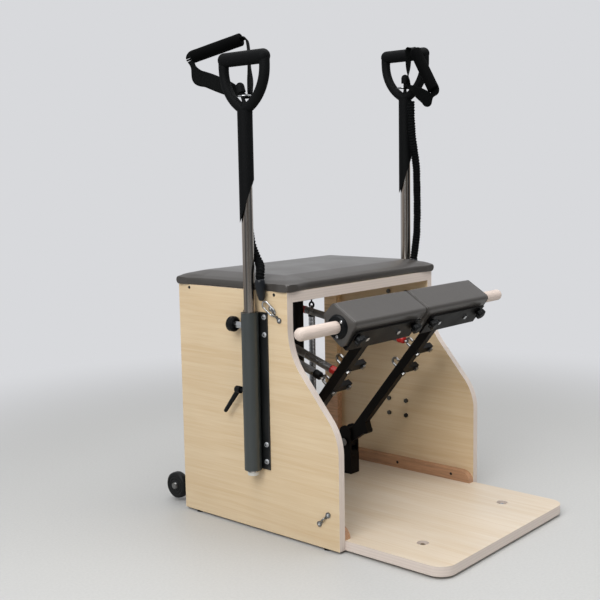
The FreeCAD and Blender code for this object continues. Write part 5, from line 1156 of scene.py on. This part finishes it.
class ChairStage(bpy.types.Operator):
    """Pale floor, soft studio light and the camera"""
    bl_idname = "chair.stage"
    bl_label = "Stage"

    # Each lamp's name, place, target, size and power, and whether it shows in gloss: the fill from the front is too
    # soft to show in the gloss of the dark pieces
    LAMPS = (("key_panel", (-2.8, -0.6, 2.5), (0, 0, 0.5), 2.2, 90.0, True),
             ("ceiling_panel", (0.2, -0.3, 3.2), (0.0, 0.0, 0.4), 3.0, 80.0, True),
             ("front_panel", (1.4, -3.2, 1.8), (0, 0, 0.5), 2.0, 26.0, False))
    # The way to the pale wall, and the diffuse light of the room
    WALL_WAY = (0.36, 0.93, 0.25)
    ROOM_LIGHT = 0.45
    # The photo's camera: azimuth, pitch and roll in degrees, its place, and its lens in millimetres
    CAMERA_ANGLES = (-48.76, 7.33, -1.01)
    CAMERA_PLACE = (-2.0414, -1.5900, 0.8910)
    LENS = 59.82

    def execute(self, context):
        scene = context.scene
        scene.view_settings.view_transform = "Standard"
        self.floor()
        self.room(scene)
        self.lamps()
        self.camera(scene)
        return {"FINISHED"}

    def floor(self):
        """A pale floor that passes into the wall's colour, as the camera sees it, away from the chair."""
        bpy.ops.mesh.primitive_circle_add(vertices=96, radius=6.0, fill_type="NGON", location=(0.2, 0.2, 0))
        floor = bpy.context.object
        floor.name = "studio_floor"
        material, tree, shader, place = blank("pale_floor")
        speck = add(tree, "ShaderNodeTexNoise", {"Vector": place, "Scale": 160.0, "Detail": 2.0})
        tone = add(tree, "ShaderNodeMix", {SHARE: speck, FIRST: rgba(paint("B1B1AF")), SECOND: rgba(paint("BFBFBD"))},
                   MIXED, data_type="RGBA")
        feed(shader, {"Base Color": tone, "Roughness": 0.5})
        away = add(tree, "ShaderNodeVectorMath", {0: place}, "Value", operation="LENGTH")
        fade = add(tree, "ShaderNodeMapRange", {"Value": away, "From Min": 0.9, "From Max": 2.2},
                   interpolation_type="SMOOTHSTEP")
        pale = add(tree, "ShaderNodeEmission", {"Color": rgba(WALL), "Strength": 1.0})
        seen = add(tree, "ShaderNodeLightPath", give="Is Camera Ray")
        share = add(tree, "ShaderNodeMath", {0: fade, 1: seen}, operation="MULTIPLY")
        mixed = add(tree, "ShaderNodeMixShader", {0: share, 1: shader.outputs[0], 2: pale})
        feed(tree.nodes["Material Output"], {"Surface": mixed})
        coat(floor, material)

    def room(self, scene):
        """Light from all round. The room opposite the pale wall is darker, and only mirrors see that."""
        world = bpy.data.worlds.new("studio_room")
        world.use_nodes = True
        tree = world.node_tree
        way = add(tree, "ShaderNodeTexCoord", give="Generated")
        facing = add(tree, "ShaderNodeVectorMath", {0: way, 1: self.WALL_WAY}, "Value", operation="DOT_PRODUCT")
        room = add(tree, "ShaderNodeMapRange", {"Value": facing, "From Min": -0.5, "From Max": 0.5, "To Min": 0.2,
                                                "To Max": 1.0}, interpolation_type="SMOOTHSTEP")
        rays = add(tree, "ShaderNodeLightPath").node.outputs
        mirror = add(tree, "ShaderNodeMath", {0: rays["Is Glossy Ray"], 1: rays["Is Transmission Ray"]},
                     operation="MAXIMUM")
        # A mix of two numbers takes them at its sockets 2 and 3
        soft = add(tree, "ShaderNodeMix", {0: mirror, 2: self.ROOM_LIGHT, 3: room}, data_type="FLOAT")
        power = add(tree, "ShaderNodeMix", {0: rays["Is Camera Ray"], 2: soft, 3: 1.0}, data_type="FLOAT")
        feed(tree.nodes["Background"], {"Color": rgba(WALL), "Strength": power})
        scene.world = world

    def lamps(self):
        for name, place, target, size, watts, mirrored in self.LAMPS:
            lamp = bpy.data.lights.new(name, "AREA")
            lamp.size = size
            lamp.energy = watts
            holder = link(name, lamp)
            holder.location = place
            holder.visible_glossy = mirrored
            holder.rotation_euler = (Vector(target) - Vector(place)).to_track_quat("-Z", "Y").to_euler()

    def camera(self, scene):
        azimuth, pitch, roll = map(math.radians, self.CAMERA_ANGLES)
        back = Vector((math.sin(azimuth) * math.cos(pitch), -math.cos(azimuth) * math.cos(pitch), math.sin(pitch)))
        level = (-back).cross(Vector((0, 0, 1))).normalized()
        upward = level.cross(-back)
        right = level * math.cos(roll) + upward * math.sin(roll)
        up = upward * math.cos(roll) - level * math.sin(roll)
        data = bpy.data.cameras.new("photo_camera")
        data.sensor_width = 36.0
        data.lens = self.LENS
        camera = link("photo_camera", data)
        turn = Matrix((right, up, back)).transposed().to_4x4()
        camera.matrix_world = Matrix.Translation(self.CAMERA_PLACE) @ turn
        scene.camera = camera


class ChairPanel(bpy.types.Panel):
    """Lists the chair's pieces, sizes and colours"""
    bl_idname = "VIEW3D_PT_chair"
    bl_label = "Pilates chair"
    bl_space_type = "VIEW_3D"
    bl_region_type = "UI"
    bl_category = "Chair"

    def draw(self, context):
        for operator in OPERATORS:
            self.layout.operator(operator.bl_idname)
        for group in (context.scene.chair_sizes, context.scene.chair_colours):
            for name in group.__annotations__:
                self.layout.prop(group, name)


GROUPS = (ChairColours, ChairSizes)
OPERATORS = (ChairFinishes, ChairCords, ChairCushion, ChairPads, ChairSprings, ChairStraps, ChairFasteners,
             ChairWheels, ChairStage)


def register():
    for item in (*GROUPS, *OPERATORS, ChairPanel):
        bpy.utils.register_class(item)
    bpy.types.Scene.chair_colours = PointerProperty(type=ChairColours)
    bpy.types.Scene.chair_sizes = PointerProperty(type=ChairSizes)


def unregister():
    del bpy.types.Scene.chair_sizes
    del bpy.types.Scene.chair_colours
    for item in reversed((*GROUPS, *OPERATORS, ChairPanel)):
        bpy.utils.unregister_class(item)


def main():
    register()
    bpy.ops.chair.finishes()
    bpy.ops.chair.cords()
    bpy.ops.chair.cushion()
    bpy.ops.chair.pads()
    bpy.ops.chair.springs()
    bpy.ops.chair.straps()
    bpy.ops.chair.fasteners()
    bpy.ops.chair.wheels()
    bpy.ops.chair.stage()


if __name__ == "__main__":
    main()
